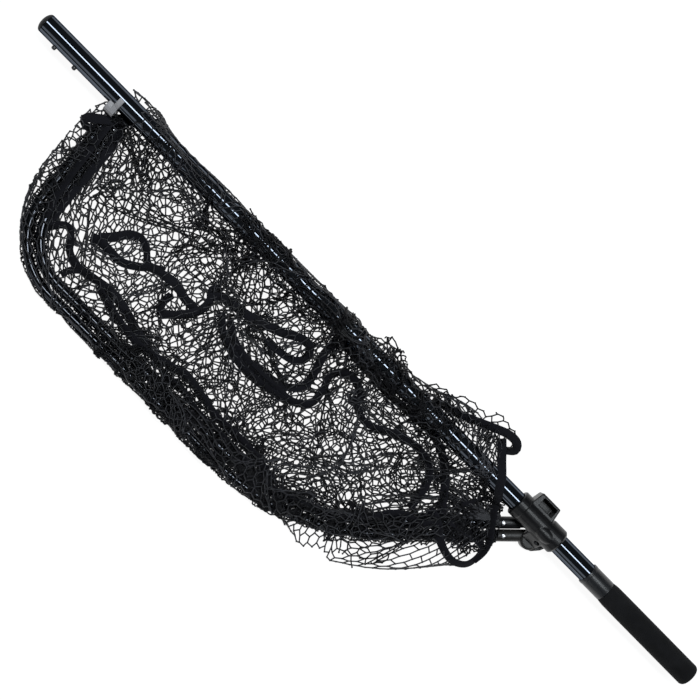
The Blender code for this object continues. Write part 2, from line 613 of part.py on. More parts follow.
def add_hinge_hardware(hoop_frame, materials):
    """The yoke's hinge pin, the front hinge pin and the washer between the eyes."""
    head_x = LUGS_X[0][0] - GAP
    yoke_pin = [
        (head_x - 2 * MM, 3 * MM), (head_x - 1.2 * MM, 4.2 * MM), (head_x, 4.2 * MM), (head_x, HINGE_PIN_R),
        (LUGS_X[1][1] - GAP, HINGE_PIN_R)]
    make_object("yoke_hinge_pin", turned(yoke_pin, sides=20), hoop_frame, materials["steel"])
    front = bar_foot(HOOP_SPACING).x - EYE_HALF - GAP
    back = bar_foot(0).x + EYE_HALF + GAP
    front_pin = [
        (front - 1.6 * MM, 2.6 * MM), (front - 1 * MM, 3.6 * MM), (front, 3.6 * MM), (front, FRONT_PIN_R),
        (back, FRONT_PIN_R), (back, 3.6 * MM), (back + 1 * MM, 3.6 * MM), (back + 1.6 * MM, 2.6 * MM)]
    make_object("front_hinge_pin", turned(front_pin, sides=16), hoop_frame, materials["steel"])
    low = bar_foot(HOOP_SPACING).x + EYE_HALF + GAP
    high = bar_foot(0).x - EYE_HALF - GAP
    washer = [(low, FRONT_PIN_R + GAP), (low, 4.2 * MM), (high, 4.2 * MM), (high, FRONT_PIN_R + GAP)]
    make_object("front_hinge_washer", turned(washer, hollow=True, sides=20), hoop_frame, materials["plug"])


def add_half_hoop(kind, offset, tube_start, mouth, frame, materials):
    """One bent hoop tube, its two rivets and the netting's hem sleeve round it."""
    path = hoop_path(offset, tube_start, BAR_TUBE_END)
    tube = make_object(f"hoop_tube_{kind}", pipe(path, HOOP_R, HOOP_R - HOOP_WALL), frame, materials["tube"])
    socket_rivet = arm_point(offset, mouth - RIVET_BACK)
    bar_rivet = bar_foot(offset) + BAR_RIVET * BAR_HEADING
    cut_rivet_bore(tube, socket_rivet, HOOP_R)
    cut_rivet_bore(tube, bar_rivet, HOOP_R)
    add_rivet(f"socket_rivet_{kind}", socket_rivet, SOCKET_R, frame, materials)
    add_rivet(f"front_rivet_{kind}", bar_rivet, HOOP_R, frame, materials)
    hem_path = hoop_path(offset, mouth + HEM_AFTER_SOCKET, BAR_HEM_END)
    make_object(f"hem_{kind}", pipe(hem_path, HEM_R, HEM_BORE), frame, materials["netting"])


def far_edge(x):
    """Return how far the netting reaches beyond the handle at a given x."""
    points = [(px * MM, py * MM) for px, py in BAG_FAR_EDGE]
    for (ax, ay), (bx, by) in zip(points, points[1:]):
        if ax <= x <= bx:
            return ay + (by - ay) * (x - ax) / (bx - ax)
    return points[-1][1]


def bag_section(x):
    """Return the fixed half's netting section at x: flat in the hoop, arched over the handle."""
    near = hoop_inside_y(x, HEM_R + BAG_HOOP_GAP)
    far = far_edge(x)
    foot_y = -26 * MM if near < -34 * MM else near + 4 * MM
    under = [(near, BAG_LOWER_Z), (foot_y, BAG_LOWER_Z)] + arc((0, TUBE_Z), BAG_ARCH_IN, 215, -20, 12)
    edge = [(far, BAG_EDGE_Z), (far, BAG_EDGE_Z + 3 * MM)]
    over = arc((0, TUBE_Z), BAG_ARCH_OUT, 10, 195, 12) + [(foot_y - 6 * MM, BAG_UPPER_Z), (near, BAG_UPPER_Z)]
    return [Vector((x, y, z)) for y, z in under + edge + over]


def stations(start, end, step):
    count = math.ceil((end - start) / step)
    return [start + (end - start) * i / count for i in range(count + 1)]


def add_net_bag(frame, fold_axis, materials):
    """The netting's stand-in solids and the binding tape that lies on them."""
    sections = [bag_section(x) for x in stations(BAG_FRONT, BAG_BACK, BAG_STEP)]
    make_object("net_bag_fixed", loft(sections), frame, materials["netting"])

    low = SWING_BAG_LOW - HOOP_Z
    high = SWING_BAG_HIGH - HOOP_Z
    sections = []
    for x in stations(BAG_FRONT, SWING_BAG_BACK, BAG_STEP):
        near = hoop_inside_y(x, HEM_R + BAG_HOOP_GAP)
        corners = rectangle(near, SWING_BAG_EDGE_Y, low, high)
        sections.append([Vector((x, y, z)) for y, z in corners])
    make_object("net_bag_swing", loft(sections), fold_axis, materials["netting"])

    tape = strip(smooth_route(TAPE_ROUTE), TAPE_HALF_WIDTH, TAPE_LOW, TAPE_HIGH)
    make_object("binding_tape", tape, frame, materials["tape"])


def make_materials():
    return {
        "tube": make_material("gloss_black_tube", (0.012, 0.013, 0.016), 0.18),
        "plug": make_material("black_plug", (0.02, 0.02, 0.021), 0.6),
        "button": make_material("black_button", (0.02, 0.02, 0.022), 0.35),
        "ferrule": make_material("satin_ferrule", (0.035, 0.036, 0.04), 0.4),
        "grip": make_material("grip_foam", (0.018, 0.018, 0.019), 0.85),
        "yoke": make_material("yoke_plastic", (0.028, 0.028, 0.03), 0.55),
        "arm": make_material("arm_plastic", (0.05, 0.047, 0.045), 0.55),
        "clip": make_material("grey_clip_plastic", (0.3, 0.3, 0.31), 0.5),
        "steel": make_material("bright_steel", (0.55, 0.55, 0.57), 0.3, metallic=1.0),
        "netting": make_material("black_netting", (0.012, 0.012, 0.014), 0.85),
        "tape": make_material("black_tape", (0.02, 0.02, 0.024), 0.9),
    }


def main():
    for old in list(bpy.data.objects):
        bpy.data.objects.remove(old, do_unlink=True)
    materials = make_materials()
    net_frame = make_empty("net_frame", (-LENGTH / 2, HANDLE_Y, 0))
    slide_axis = make_empty("slide_axis", (0, 0, TUBE_Z), net_frame)
    hoop_frame = make_empty("hoop_frame", (0, 0, HOOP_Z), net_frame)
    fold_axis = make_empty("fold_axis", (0, 0, HOOP_Z), net_frame)

    add_handle(slide_axis, materials)
    for place in BUTTON_X:
        add_snap_button(place, slide_axis, materials)
    add_yoke(net_frame, materials)
    add_fixed_arm(net_frame, hoop_frame, materials)
    add_swing_arm(fold_axis, materials)
    add_front_eye("front_eye_fixed", HOOP_SPACING, hoop_frame, materials, with_clip_pad=True)
    add_front_eye("front_eye_swing", 0, fold_axis, materials, with_clip_pad=False)
    add_storage_clip(net_frame, materials)
    add_hinge_hardware(hoop_frame, materials)
    add_half_hoop("fixed", HOOP_SPACING, FIXED_TUBE_START, FIXED_SOCKET[1], hoop_frame, materials)
    add_half_hoop("swing", 0, SWING_TUBE_START, SWING_SOCKET[1], fold_axis, materials)
    add_net_bag(net_frame, fold_axis, materials)


main()
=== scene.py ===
"""Looks of the stowed landing net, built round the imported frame.

Shapes are worked out in the net frame of part.py, in millimetres: x from the handle's tip, y from
the handle's axis (the hoop lies on the -y side), z above the floor. to_row() turns them into
metres in the row frame.
"""
import math

import bpy
import numpy as np
from mathutils import Matrix, Vector


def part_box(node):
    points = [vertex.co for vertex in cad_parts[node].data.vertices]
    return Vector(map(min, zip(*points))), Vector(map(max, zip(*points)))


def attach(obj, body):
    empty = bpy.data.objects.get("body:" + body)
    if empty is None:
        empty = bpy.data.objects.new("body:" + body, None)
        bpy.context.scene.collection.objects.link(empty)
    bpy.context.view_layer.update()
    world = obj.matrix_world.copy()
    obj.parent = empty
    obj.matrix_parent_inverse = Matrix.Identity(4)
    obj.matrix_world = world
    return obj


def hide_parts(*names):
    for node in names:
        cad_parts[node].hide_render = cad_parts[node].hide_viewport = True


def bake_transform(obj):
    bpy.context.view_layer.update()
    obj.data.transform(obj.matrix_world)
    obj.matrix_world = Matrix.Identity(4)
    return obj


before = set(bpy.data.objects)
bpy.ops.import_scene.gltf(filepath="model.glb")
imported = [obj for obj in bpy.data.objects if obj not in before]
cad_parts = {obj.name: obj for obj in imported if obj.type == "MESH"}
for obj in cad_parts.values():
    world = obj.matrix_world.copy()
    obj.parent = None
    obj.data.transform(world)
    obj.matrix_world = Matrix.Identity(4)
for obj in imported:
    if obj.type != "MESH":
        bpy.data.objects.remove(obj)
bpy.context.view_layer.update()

# Net frame: its origin in the row frame, and the handle's axis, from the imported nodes
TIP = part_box("tip_plug")[0]
TUBE_LOW, TUBE_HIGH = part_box("handle_tube")
ORIGIN = np.array([TIP.x, (TUBE_LOW.y + TUBE_HIGH.y) / 2, 0.0])
TUBE_Z = (TUBE_LOW.z + TUBE_HIGH.z) / 2 * 1000
TUBE_R = (TUBE_HIGH.y - TUBE_LOW.y) / 2 * 1000

# Hoop, as in part.py
HOOP_Z = 6.6
HOOP_R = 5.2
HOOP_WALL = 1.0
HEM_R = 6.6
HOOP_SPACING = 13.6
SIDE_Y = -180.0
ARM_ANGLE = math.radians(44)
ARM_FOOT_X = 734.0
BAR_LEAN = math.radians(6)
BAR_FOOT_X = 126.0
SHOULDER_RADIUS = 240.0
CORNER_RADIUS = 64.0
BAR_TUBE_END = 20.0
BAR_HEM_END = 36.0
TUBE_START = {"swing": 22.0, "fixed": 36.0}
HEM_START = {"swing": 46.0, "fixed": 60.0}
OFFSET = {"swing": 0.0, "fixed": HOOP_SPACING}

# Handle fittings
TIP_DOME = 5.5
FERRULE = (806.0, 834.0)
GRIP = (834.3, 965.0)
TUBE_SPAN = (5.8, 957.5)

# Netting
MESH_SIDE = 6.3                # knot to knot
TWINE_R = 0.88
KNOT_R = 1.2
OVER_TUBE = (138.0, 666.0)     # the netting lies over the handle between these x
ROOT_FLOOR = 7.2               # inside the hoop, the fixed half's netting stays above the swing half's
FAR_FLOOR = 14.2               # beyond the handle it stays above the swing half's other place
ARM_FLOOR = 16.6               # over the yoke's arms
LOWEST_KNOT = 1.4              # centre of the lowest knots: about a knot's radius above the floor
SWING_NET_X = (139.0, 696.0)
HINGE_EDGE_Y = -6.0            # the swing half's netting lies flat from here to its hoop
HINGE_CLIMB = (14.0, 7.0)      # the netting that climbs from there to the fixed half's, and how far in y
JOIN_HEIGHT = 13.8             # where the two halves' netting meet, under the handle
SWING_NET_DEPTH = 166.0        # netting from the hinge line to the hoop
SWING_NET_Z = 3.9
SWING_GATHER = 0.92
WRAP_START_X = 96.0
WRAP_SIZE = (612.0, 408.0)     # along the handle, and right round the netting's section
WRAP_GATHER = (0.9, 0.88)
PATH_STEP = 3.0                # between points along the hoop's line
OUTLINE = (
    (97, -20), (95, -45), (99, -80), (105, -115), (113, -140), (126, -162), (144, -179), (163, -190),
    (187, -198), (230, -202), (300, -203), (380, -203), (450, -202), (500, -198), (520, -193),
    (538, -192), (558, -194), (578, -197), (590, -195), (600, -188), (628, -175), (638, -165),
    (663, -143), (683, -118), (698, -100), (708, -90), (712, -75), (713, -60), (715, -47),
    (711, -36), (702, -25), (694, -15), (688, -8), (684, 5), (678, 12), (670, 18), (660, 30), (655, 47),
    (648, 53), (623, 56), (618, 54), (605, 46), (593, 45), (578, 38), (568, 30), (555, 32),
    (538, 20), (523, 19), (503, 28), (488, 33), (476, 20), (463, 14), (438, 18), (398, 16),
    (363, 18), (318, 14), (278, 16), (248, 14), (218, 17), (178, 14), (158, 18), (138, 22),
    (113, 22), (108, 12), (104, 0),
)

# Binding tape: 10 mm wide. Each route's points are x, y, z and the roll in degrees
TAPE_WIDTH = 10.0
TAPE_THICK = 0.9
TAPES = {
    "front_flap": ((143, 0, 15.8, 5), (135, -7, 16.2, 0), (125, -18, 18.5, 0), (114, -27, 19.5, 0),
                   (105, -34, 18, 5), (99.5, -40, 14.5, 25), (105, -44, 12, 40), (114, -41, 11, 30)),
    "front_inner": ((126, -10, 15, 12), (134, -24, 15, 8), (140, -45, 14.5, 12), (143, -75, 14, 25),
                    (145, -100, 13.5, 20), (148, -125, 13, 25), (150, -143, 13, 35)),
    "front_outer": ((120, -20, 16, 20), (123, -40, 15.5, 30), (127, -62, 15, 38), (131, -90, 15, 40),
                    (136, -116, 14.5, 35), (144, -140, 14, 40)),
    "corner": ((152, -146, 11, 35), (160, -134, 12, 40), (168, -130, 12, 42), (177, -136, 12, 40),
               (186, -147, 11.5, 38), (202, -152, 11.5, 38), (222, -149, 12, 30), (244, -146, 12, 20),
               (268, -149, 12, 15), (292, -156, 12, 12), (316, -162, 12, 20)),
    "corner_tail": ((206, -153, 11, 30), (200, -160, 10.5, 40), (196, -170, 10.5, 45)),
    "seam_near": ((232, -152, 11, 45), (256, -158, 11.5, 40), (284, -163, 12, 35), (312, -164, 12.5, 38),
                  (338, -158, 13, 35), (362, -152, 13, 30), (388, -156, 13, 34), (416, -160, 13, 38),
                  (446, -159, 13, 35), (476, -161, 13, 40), (504, -166, 12.5, 45)),
    "seam_far": ((342, -170, 11, 50), (366, -166, 12, 52), (394, -170, 12, 55), (430, -170, 12, 54),
                 (462, -171, 12, 50), (500, -173, 12, 48), (536, -164, 12, 45), (566, -149, 12, 45),
                 (590, -132, 12.5, 45)),
    "left_end": ((190, -121, 9, 5), (197, -118, 11, 20), (212, -117, 11.5, 28), (230, -117, 11, 25),
                 (246, -108, 11.5, 30), (256, -99, 11, 35), (268, -92, 11, 40)),
    "left_loop": ((196, -116, 12, 12), (207, -104, 12, 15), (216, -91, 12, 25), (228, -85, 12, 40),
                  (240, -90, 12, 45), (252, -99, 11.5, 40), (268, -96, 12, 20), (286, -93, 12.5, 5),
                  (303, -97, 12, 20), (319, -97, 11.5, 35)),
    "hook": ((291, -104, 10, 30), (290, -116, 11, 32), (295, -124, 11.5, 25), (305, -119, 12, 25),
             (315, -108, 12, 25), (323, -94, 12, 25), (323, -80, 12, 30), (316, -70, 12, 42),
             (322, -62, 11.5, 46)),
    "upper_loop": ((318, -80, 12, 35), (330, -69, 12.5, 28), (352, -65, 13, 18), (378, -58, 13.5, 15),
                   (400, -50, 13.5, 22), (418, -40, 14, 28), (430, -40, 14, 30), (436, -50, 13, 30),
                   (430, -61, 12.5, 32), (412, -66, 12, 36), (392, -66, 12, 42)),
    "middle_loop": ((352, -80, 12, 40), (372, -92, 12, 32), (402, -97, 12, 28), (432, -96, 12.5, 30),
                    (458, -93, 12.5, 32), (473, -80, 12.5, 30), (472, -62, 12.5, 32), (467, -46, 13, 34),
                    (474, -34, 14, 32), (490, -31, 14, 35), (508, -40, 13.5, 40)),
    "middle_low": ((340, -80, 11, 40), (362, -97, 11, 38), (400, -105, 11, 34), (430, -102, 11, 40),
                   (452, -98, 11, 44)),
    "cross": ((447, -14, 15, 36), (446, -34, 13.5, 32), (452, -52, 12.5, 28), (455, -72, 12, 30),
              (444, -86, 11.5, 36), (424, -92, 11.5, 40), (400, -93, 11.5, 42)),
    "back_long": ((448, -12, 15.4, 30), (486, -14, 14.8, 28), (520, -16, 14.6, 32), (556, -14, 14.8, 34),
                  (588, -13, 15, 32), (612, -22, 14.5, 32), (630, -36, 14, 30), (643, -52, 13.5, 30),
                  (654, -66, 13, 30)),
    "back_arch": ((500, -44, 12.5, 40), (524, -54, 12, 42), (541, -50, 12.5, 38), (562, -39, 13, 34),
                  (586, -34, 13, 34), (606, -38, 13, 38), (618, -50, 12.5, 38), (623, -66, 12, 36),
                  (625, -84, 11.5, 34)),
    "shoulder_inner": ((560, -152, 12, 40), (584, -140, 12.5, 32), (604, -122, 13, 28), (612, -106, 13.5, 25),
                       (626, -94, 13.5, 25), (644, -88, 14, 28), (660, -76, 14, 30)),
    "shoulder_loop": ((640, -70, 14, 30), (656, -74, 15, 30), (672, -86, 15.5, 35), (694, -92, 15, 38),
                      (709, -85, 14.5, 40), (713, -72, 14.5, 42), (710, -60, 15, 42), (700, -58, 15, 40),
                      (682, -60, 15.5, 38), (664, -64, 15, 35)),
    "yoke_loop": ((698, -34, 17.5, 50), (706, -44, 17.5, 55), (712, -54, 17, 58), (714, -64, 16.5, 60),
                  (713, -76, 16, 62)),
    "yoke_tie": ((662, -44, 16.5, 45), (668, -34, 17.5, 50), (672, -24, 18, 55), (678, -19, 18, 60)),
    "far_loop": ((560, 14, 17, 40), (586, 20, 18.5, 34), (608, 29, 19, 30), (628, 38, 20, 25),
                 (644, 44, 20.5, 20), (656, 44, 20, 20), (661, 37, 18, 30), (653, 29, 16, 40)),
    "far_tail": ((642, 36, 18, 20), (650, 27, 22, 5), (657, 18, 28.5, 0), (662, 11.5, 34.5, 5),
                 (667, 5, 38.8, 15), (671, -1, 40, 25), (676, -8, 37.5, 35), (681, -13, 30, 45),
                 (687, -20, 23.5, 52), (694, -29, 20.5, 56), (701, -38, 19, 58), (708, -48, 18.5, 60)),
}

# Loose folds inside the bag: name, seed, plan corners, rise, gathering along and across, sway
CRUMPLES = (
    ("netting_layer", 21, (280, -172), (660, -100), 4.0, (0.95, 0.95), 14.0),
    ("netting_middle", 31, (306, -112), (470, -46), 5.0, (0.85, 0.85), 12.0),
    ("netting_by_handle", 33, (300, -44), (640, -10), 6.0, (0.72, 0.62), 10.0),
    ("netting_beside", 34, (124, -34), (330, -8), 6.0, (0.55, 0.46), 8.0),
    ("netting_left", 32, (152, -76), (330, -26), 5.0, (0.8, 0.8), 15.0),
    ("netting_right", 40, (476, -96), (620, -50), 5.0, (0.9, 0.9), 14.0),
    ("netting_over_handle", 35, (280, -24), (600, 17), 2.5, (0.5, 0.5), 8.0),
    ("netting_far_heap", 37, (480, 2), (600, 22), 5.0, (0.7, 0.6), 7.0),
    ("netting_far_bulge", 36, (560, 14), (660, 55), 5.0, (0.98, 0.98), 3.0),
    ("netting_at_yoke", 38, (644, -80), (712, -16), 9.0, (0.45, 0.45), 4.0),
)

# Netting bunched on the hoop: name, seed, material, span of the way, how far across, height, rise,
# and gathering along and across
RIMS = (
    ("netting_rim_side", 61, "netting", (0.28, 0.64), (-26, 13), 11.5, 3.5, (0.42, 0.5)),
    ("netting_rim_inside", 62, "netting", (0.26, 0.68), (-38, -8), 10.5, 3.5, (0.6, 0.6)),
    ("netting_rim_shoulder", 63, "netting", (0.02, 0.34), (-20, 12), 12.0, 3.5, (0.5, 0.55)),
    # this rim layer takes the lighter twine, whose tone is a painted highlight on the uppermost strands
    ("netting_rim_top", 66, "painted_lit_netting", (0.06, 0.60), (-20, 13), 16.5, 2.5, (1.0, 0.95)),
    ("netting_rim_front", 65, "netting", (0.86, 1.0), (-12, 6), 11.0, 3.0, (0.6, 0.7)),
)

CAMERA_TARGET = (461.8, -12.8, 20.0)
CAMERA_DISTANCE = 2.0
CAMERA_AZIMUTH = math.radians(-51.05)
CAMERA_ELEVATION = math.radians(83.21)
CAMERA_ROLL = math.radians(96.28)
CAMERA_LENS = 98.6


# ---------------------------------------------------------------- geometry helpers

def to_row(points):
    """Net frame millimetres to row frame metres."""
    return np.asarray(points, float) / 1000 + ORIGIN


def unit(vectors):
    length = np.linalg.norm(vectors, axis=-1, keepdims=True)
    return vectors / np.maximum(length, 1e-9)


def make_mesh(name, points, quads, triangles, material, body=None, smooth=True):
    """Make a piece from net frame points and arrays of quads and triangles."""
    quads = np.asarray(quads, np.int64).reshape(-1, 4)
    triangles = np.asarray(triangles, np.int64).reshape(-1, 3)
    mesh = bpy.data.meshes.new(name)
    points = to_row(points)
    mesh.vertices.add(len(points))
    mesh.vertices.foreach_set("co", points.astype(np.float32).ravel())
    corners = np.concatenate([quads.ravel(), triangles.ravel()]).astype(np.int32)
    starts = np.concatenate([np.arange(len(quads)) * 4, 4 * len(quads) + np.arange(len(triangles)) * 3])
    mesh.loops.add(len(corners))
    mesh.loops.foreach_set("vertex_index", corners)
    mesh.polygons.add(len(starts))
    mesh.polygons.foreach_set("loop_start", starts.astype(np.int32))
    mesh.update(calc_edges=True)
    mesh.validate()
    mesh.polygons.foreach_set("use_smooth", np.full(len(mesh.polygons), smooth))
    mesh.materials.append(material)
    piece = bpy.data.objects.new(name, mesh)
    bpy.context.scene.collection.objects.link(piece)
    if body:
        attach(piece, body)
    return piece


def skin(rings, closed=False):
    """Return quads and cap triangles that skin an array of rings, shape (rings, sides, 3)."""
    count, sides = rings.shape[:2]
    index = np.arange(count * sides).reshape(count, sides)
    near = index if closed else index[:-1]
    far = np.roll(index, -1, axis=0) if closed else index[1:]
    quads = np.stack([near, np.roll(near, -1, 1), np.roll(far, -1, 1), far], axis=-1).reshape(-1, 4)
    if closed:
        return quads, np.zeros((0, 3), int)
    first, last = index[0], index[-1]
    caps = [(first[0], first[i + 1], first[i]) for i in range(1, sides - 1)]
    caps += [(last[0], last[i], last[i + 1]) for i in range(1, sides - 1)]
    return quads, np.array(caps)


def lathe(name, profile, material, body, sides=96):
    """Turn an outline of (x, radius) about the handle's axis. It is skinned as a closed ring."""
    angles = np.arange(sides) * 2 * math.pi / sides
    profile = np.array(profile, float)
    x = np.repeat(profile[:, :1], sides, axis=1)
    y = profile[:, 1:] * np.cos(angles)
    z = TUBE_Z + profile[:, 1:] * np.sin(angles)
    rings = np.stack([x, y, z], axis=-1)
    quads, caps = skin(rings, closed=True)
    piece = make_mesh(name, rings.reshape(-1, 3), quads, caps, material, body)
    piece.data.set_sharp_from_angle(angle=math.radians(32))
    return piece


def smooth_curve(points, step):
    """Catmull-Rom curve through rows of numbers, with a point about every step."""
    points = np.array(points, float)
    padded = np.vstack([2 * points[0] - points[1], points, 2 * points[-1] - points[-2]])
    rows = []
    for a, b, c, d in zip(padded, padded[1:], padded[2:], padded[3:]):
        pieces = max(2, int(np.linalg.norm((c - b)[:3]) / step))
        t = (np.arange(pieces) / pieces)[:, None]
        rows.append(0.5 * (2 * b + (c - a) * t + (2 * a - 5 * b + 4 * c - d) * t ** 2
                           + (3 * b - a - 3 * c + d) * t ** 3))
    rows.append(points[-1:])
    return np.vstack(rows)


def headings(path):
    return unit(np.gradient(path, axis=0))


# ---------------------------------------------------------------- the hoop's lines

ARM_HEADING = Vector((-math.cos(ARM_ANGLE), -math.sin(ARM_ANGLE)))
BAR_HEADING = Vector((math.sin(BAR_LEAN), -math.cos(BAR_LEAN)))


def rounded_corner(before, corner, after, radius, steps):
    """Replace a corner of a plan path with an arc."""
    a = (before - corner).normalized()
    b = (after - corner).normalized()
    half_turn = a.angle(b) / 2
    reach = radius / math.tan(half_turn)
    centre = corner + (a + b).normalized() * radius / math.sin(half_turn)
    first = corner + a * reach - centre
    last = corner + b * reach - centre
    start = math.atan2(first.y, first.x)
    turn = first.angle(last)
    if first.x * last.y - first.y * last.x < 0:
        turn = -turn
    angles = [start + turn * i / steps for i in range(steps + 1)]
    return [centre + radius * Vector((math.cos(angle), math.sin(angle))) for angle in angles]


def hoop_line(offset, arm_start, bar_end, step=4.0):
    """Return one half's centreline in plan, from its socket round to its front eye."""
    side_y = SIDE_Y - offset
    arm_foot = Vector((ARM_FOOT_X + offset / math.sin(ARM_ANGLE), 0))
    bar_foot = Vector((BAR_FOOT_X - offset / math.cos(BAR_LEAN), 0))
    start = arm_foot + arm_start * ARM_HEADING
    shoulder = arm_foot - side_y / math.sin(ARM_ANGLE) * ARM_HEADING
    corner = bar_foot - side_y / math.cos(BAR_LEAN) * BAR_HEADING
    end = bar_foot + bar_end * BAR_HEADING
    path = [start]
    path += rounded_corner(start, shoulder, corner, SHOULDER_RADIUS + offset, 40)
    path += rounded_corner(shoulder, corner, end, CORNER_RADIUS + offset, 30)
    path.append(end)
    points = np.array([(p.x, p.y, HOOP_Z) for p in path])
    return evenly(points, step)


def evenly(points, step):
    """Resample a polyline at equal steps."""
    lengths = np.concatenate([[0], np.cumsum(np.linalg.norm(np.diff(points, axis=0), axis=1))])
    count = max(2, int(round(lengths[-1] / step)) + 1)
    wanted = np.linspace(0, lengths[-1], count)
    return np.stack([np.interp(wanted, lengths, points[:, k]) for k in range(3)], axis=1)


HOOP_LINES = {kind: hoop_line(OFFSET[kind], TUBE_START[kind], BAR_TUBE_END) for kind in OFFSET}
INNER_EDGE = hoop_line(-HEM_R - 2.0, 40.0, BAR_TUBE_END)
PLAN = smooth_curve([(x, y, 0) for x, y in OUTLINE] + [(*OUTLINE[0], 0)], 6.0)[:, :2]


def nearest_on(points, line):
    """Return each point's nearest point on a polyline, in as many dimensions as the line has."""
    best = np.full(len(points), np.inf)
    found = np.zeros_like(points)
    for a, b in zip(line, line[1:]):
        along = b - a
        t = np.clip((points - a) @ along / max(along @ along, 1e-9), 0, 1)
        place = a + t[:, None] * along
        gap = ((points - place) ** 2).sum(1)
        closer = gap < best
        best[closer] = gap[closer]
        found[closer] = place[closer]
    return found, np.sqrt(best)


def inside(points, polygon):
    """Tell which plan points lie inside a closed polygon."""
    x, y = points[:, 0], points[:, 1]
    crossings = np.zeros(len(points), int)
    for (ax, ay), (bx, by) in zip(polygon, polygon[1:]):
        spans = (ay > y) != (by > y)
        if abs(by - ay) > 1e-9:
            crossings += spans & (x < ax + (bx - ax) * (y - ay) / (by - ay))
    return crossings % 2 == 1


# ---------------------------------------------------------------- materials

def new_material(name):
    material = bpy.data.materials.new(name)
    material.use_nodes = True
    shader = material.node_tree.nodes["Principled BSDF"]
    return material, material.node_tree, shader


def add_node(tree, kind, **settings):
    node = tree.nodes.new(kind)
    for key, value in settings.items():
        if key in node.inputs:
            node.inputs[key].default_value = value
        else:
            setattr(node, key, value)
    return node


def noise(tree, scale, detail=3.0, roughness=0.55):
    """Noise in object coordinates. The scale is in waves per metre."""
    where = add_node(tree, "ShaderNodeTexCoord")
    texture = add_node(tree, "ShaderNodeTexNoise", Scale=scale, Detail=detail, Roughness=roughness)
    tree.links.new(where.outputs["Object"], texture.inputs["Vector"])
    return texture


def tint(tree, shader, source, dark, light, low=0.3, high=0.7):
    """Colour the shader between two tones by a texture."""
    ramp = add_node(tree, "ShaderNodeValToRGB")
    ramp.color_ramp.elements[0].position = low
    ramp.color_ramp.elements[0].color = (*dark, 1)
    ramp.color_ramp.elements[1].position = high
    ramp.color_ramp.elements[1].color = (*light, 1)
    tree.links.new(source, ramp.inputs["Fac"])
    tree.links.new(ramp.outputs["Color"], shader.inputs["Base Color"])


def vary_roughness(tree, shader, source, low, high):
    spread = add_node(tree, "ShaderNodeMapRange")
    spread.inputs["To Min"].default_value = low
    spread.inputs["To Max"].default_value = high
    tree.links.new(source, spread.inputs["Value"])
    tree.links.new(spread.outputs["Result"], shader.inputs["Roughness"])


def add_bump(tree, shader, source, height_mm, strength=1.0):
    bump = add_node(tree, "ShaderNodeBump")
    bump.inputs["Distance"].default_value = height_mm / 1000
    bump.inputs["Strength"].default_value = strength
    tree.links.new(source, bump.inputs["Height"])
    tree.links.new(bump.outputs["Normal"], shader.inputs["Normal"])


def moulded(name, dark, light, rough, grain_mm, grain_height, metallic=0.0, coat=0.0, specular=0.5,
             edge=1.0):
    """A solid finish: two close tones, uneven gloss and a fine grain."""
    material, tree, shader = new_material(name)
    broad = noise(tree, 60.0)
    fine = noise(tree, 1000 / grain_mm, detail=2.0)
    tint(tree, shader, broad.outputs["Fac"], dark, light)
    vary_roughness(tree, shader, broad.outputs["Fac"], rough[0], rough[1])
    if grain_height:
        add_bump(tree, shader, fine.outputs["Fac"], grain_height)
    shader.inputs["Metallic"].default_value = metallic
    shader.inputs["Specular Tint"].default_value = (edge, edge, edge, 1)
    shader.inputs["Specular IOR Level"].default_value = specular
    shader.inputs["Coat Weight"].default_value = coat
    shader.inputs["Coat Roughness"].default_value = 0.06
    return material


def woven(name, dark, light, thread_mm, height_mm, sheen):
    """A cloth tape: two crossing sets of ribs, with fuzz."""
    material, tree, shader = new_material(name)
    where = add_node(tree, "ShaderNodeTexCoord")
    ribs = []
    for direction in ("X", "Y"):
        wave = add_node(tree, "ShaderNodeTexWave", Scale=1000 / thread_mm / 20, Distortion=0.4)
        wave.bands_direction = direction
        tree.links.new(where.outputs["Object"], wave.inputs["Vector"])
        ribs.append(wave)
    both = add_node(tree, "ShaderNodeMath", operation="MULTIPLY")
    tree.links.new(ribs[0].outputs["Fac"], both.inputs[0])
    tree.links.new(ribs[1].outputs["Fac"], both.inputs[1])
    fuzz = noise(tree, 900.0)
    tint(tree, shader, fuzz.outputs["Fac"], dark, light)
    add_bump(tree, shader, both.outputs["Value"], height_mm, 0.8)
    vary_roughness(tree, shader, fuzz.outputs["Fac"], 0.7, 0.95)
    shader.inputs["Specular IOR Level"].default_value = 0.15
    shader.inputs["Sheen Weight"].default_value = sheen
    shader.inputs["Sheen Roughness"].default_value = 0.5
    return material


def twine(name, dark, light, specular):
    """Knotted black twine: dark, a little shiny on its crowns, with a twisted lay."""
    material, tree, shader = new_material(name)
    lay = add_node(tree, "ShaderNodeTexWave", Scale=60.0, Distortion=2.0)
    lay.bands_direction = "DIAGONAL"
    where = add_node(tree, "ShaderNodeTexCoord")
    tree.links.new(where.outputs["Object"], lay.inputs["Vector"])
    patches = noise(tree, 45.0)
    tint(tree, shader, patches.outputs["Fac"], dark, light)
    add_bump(tree, shader, lay.outputs["Fac"], 0.12, 0.7)
    vary_roughness(tree, shader, patches.outputs["Fac"], 0.42, 0.68)
    shader.inputs["Specular IOR Level"].default_value = specular
    return material


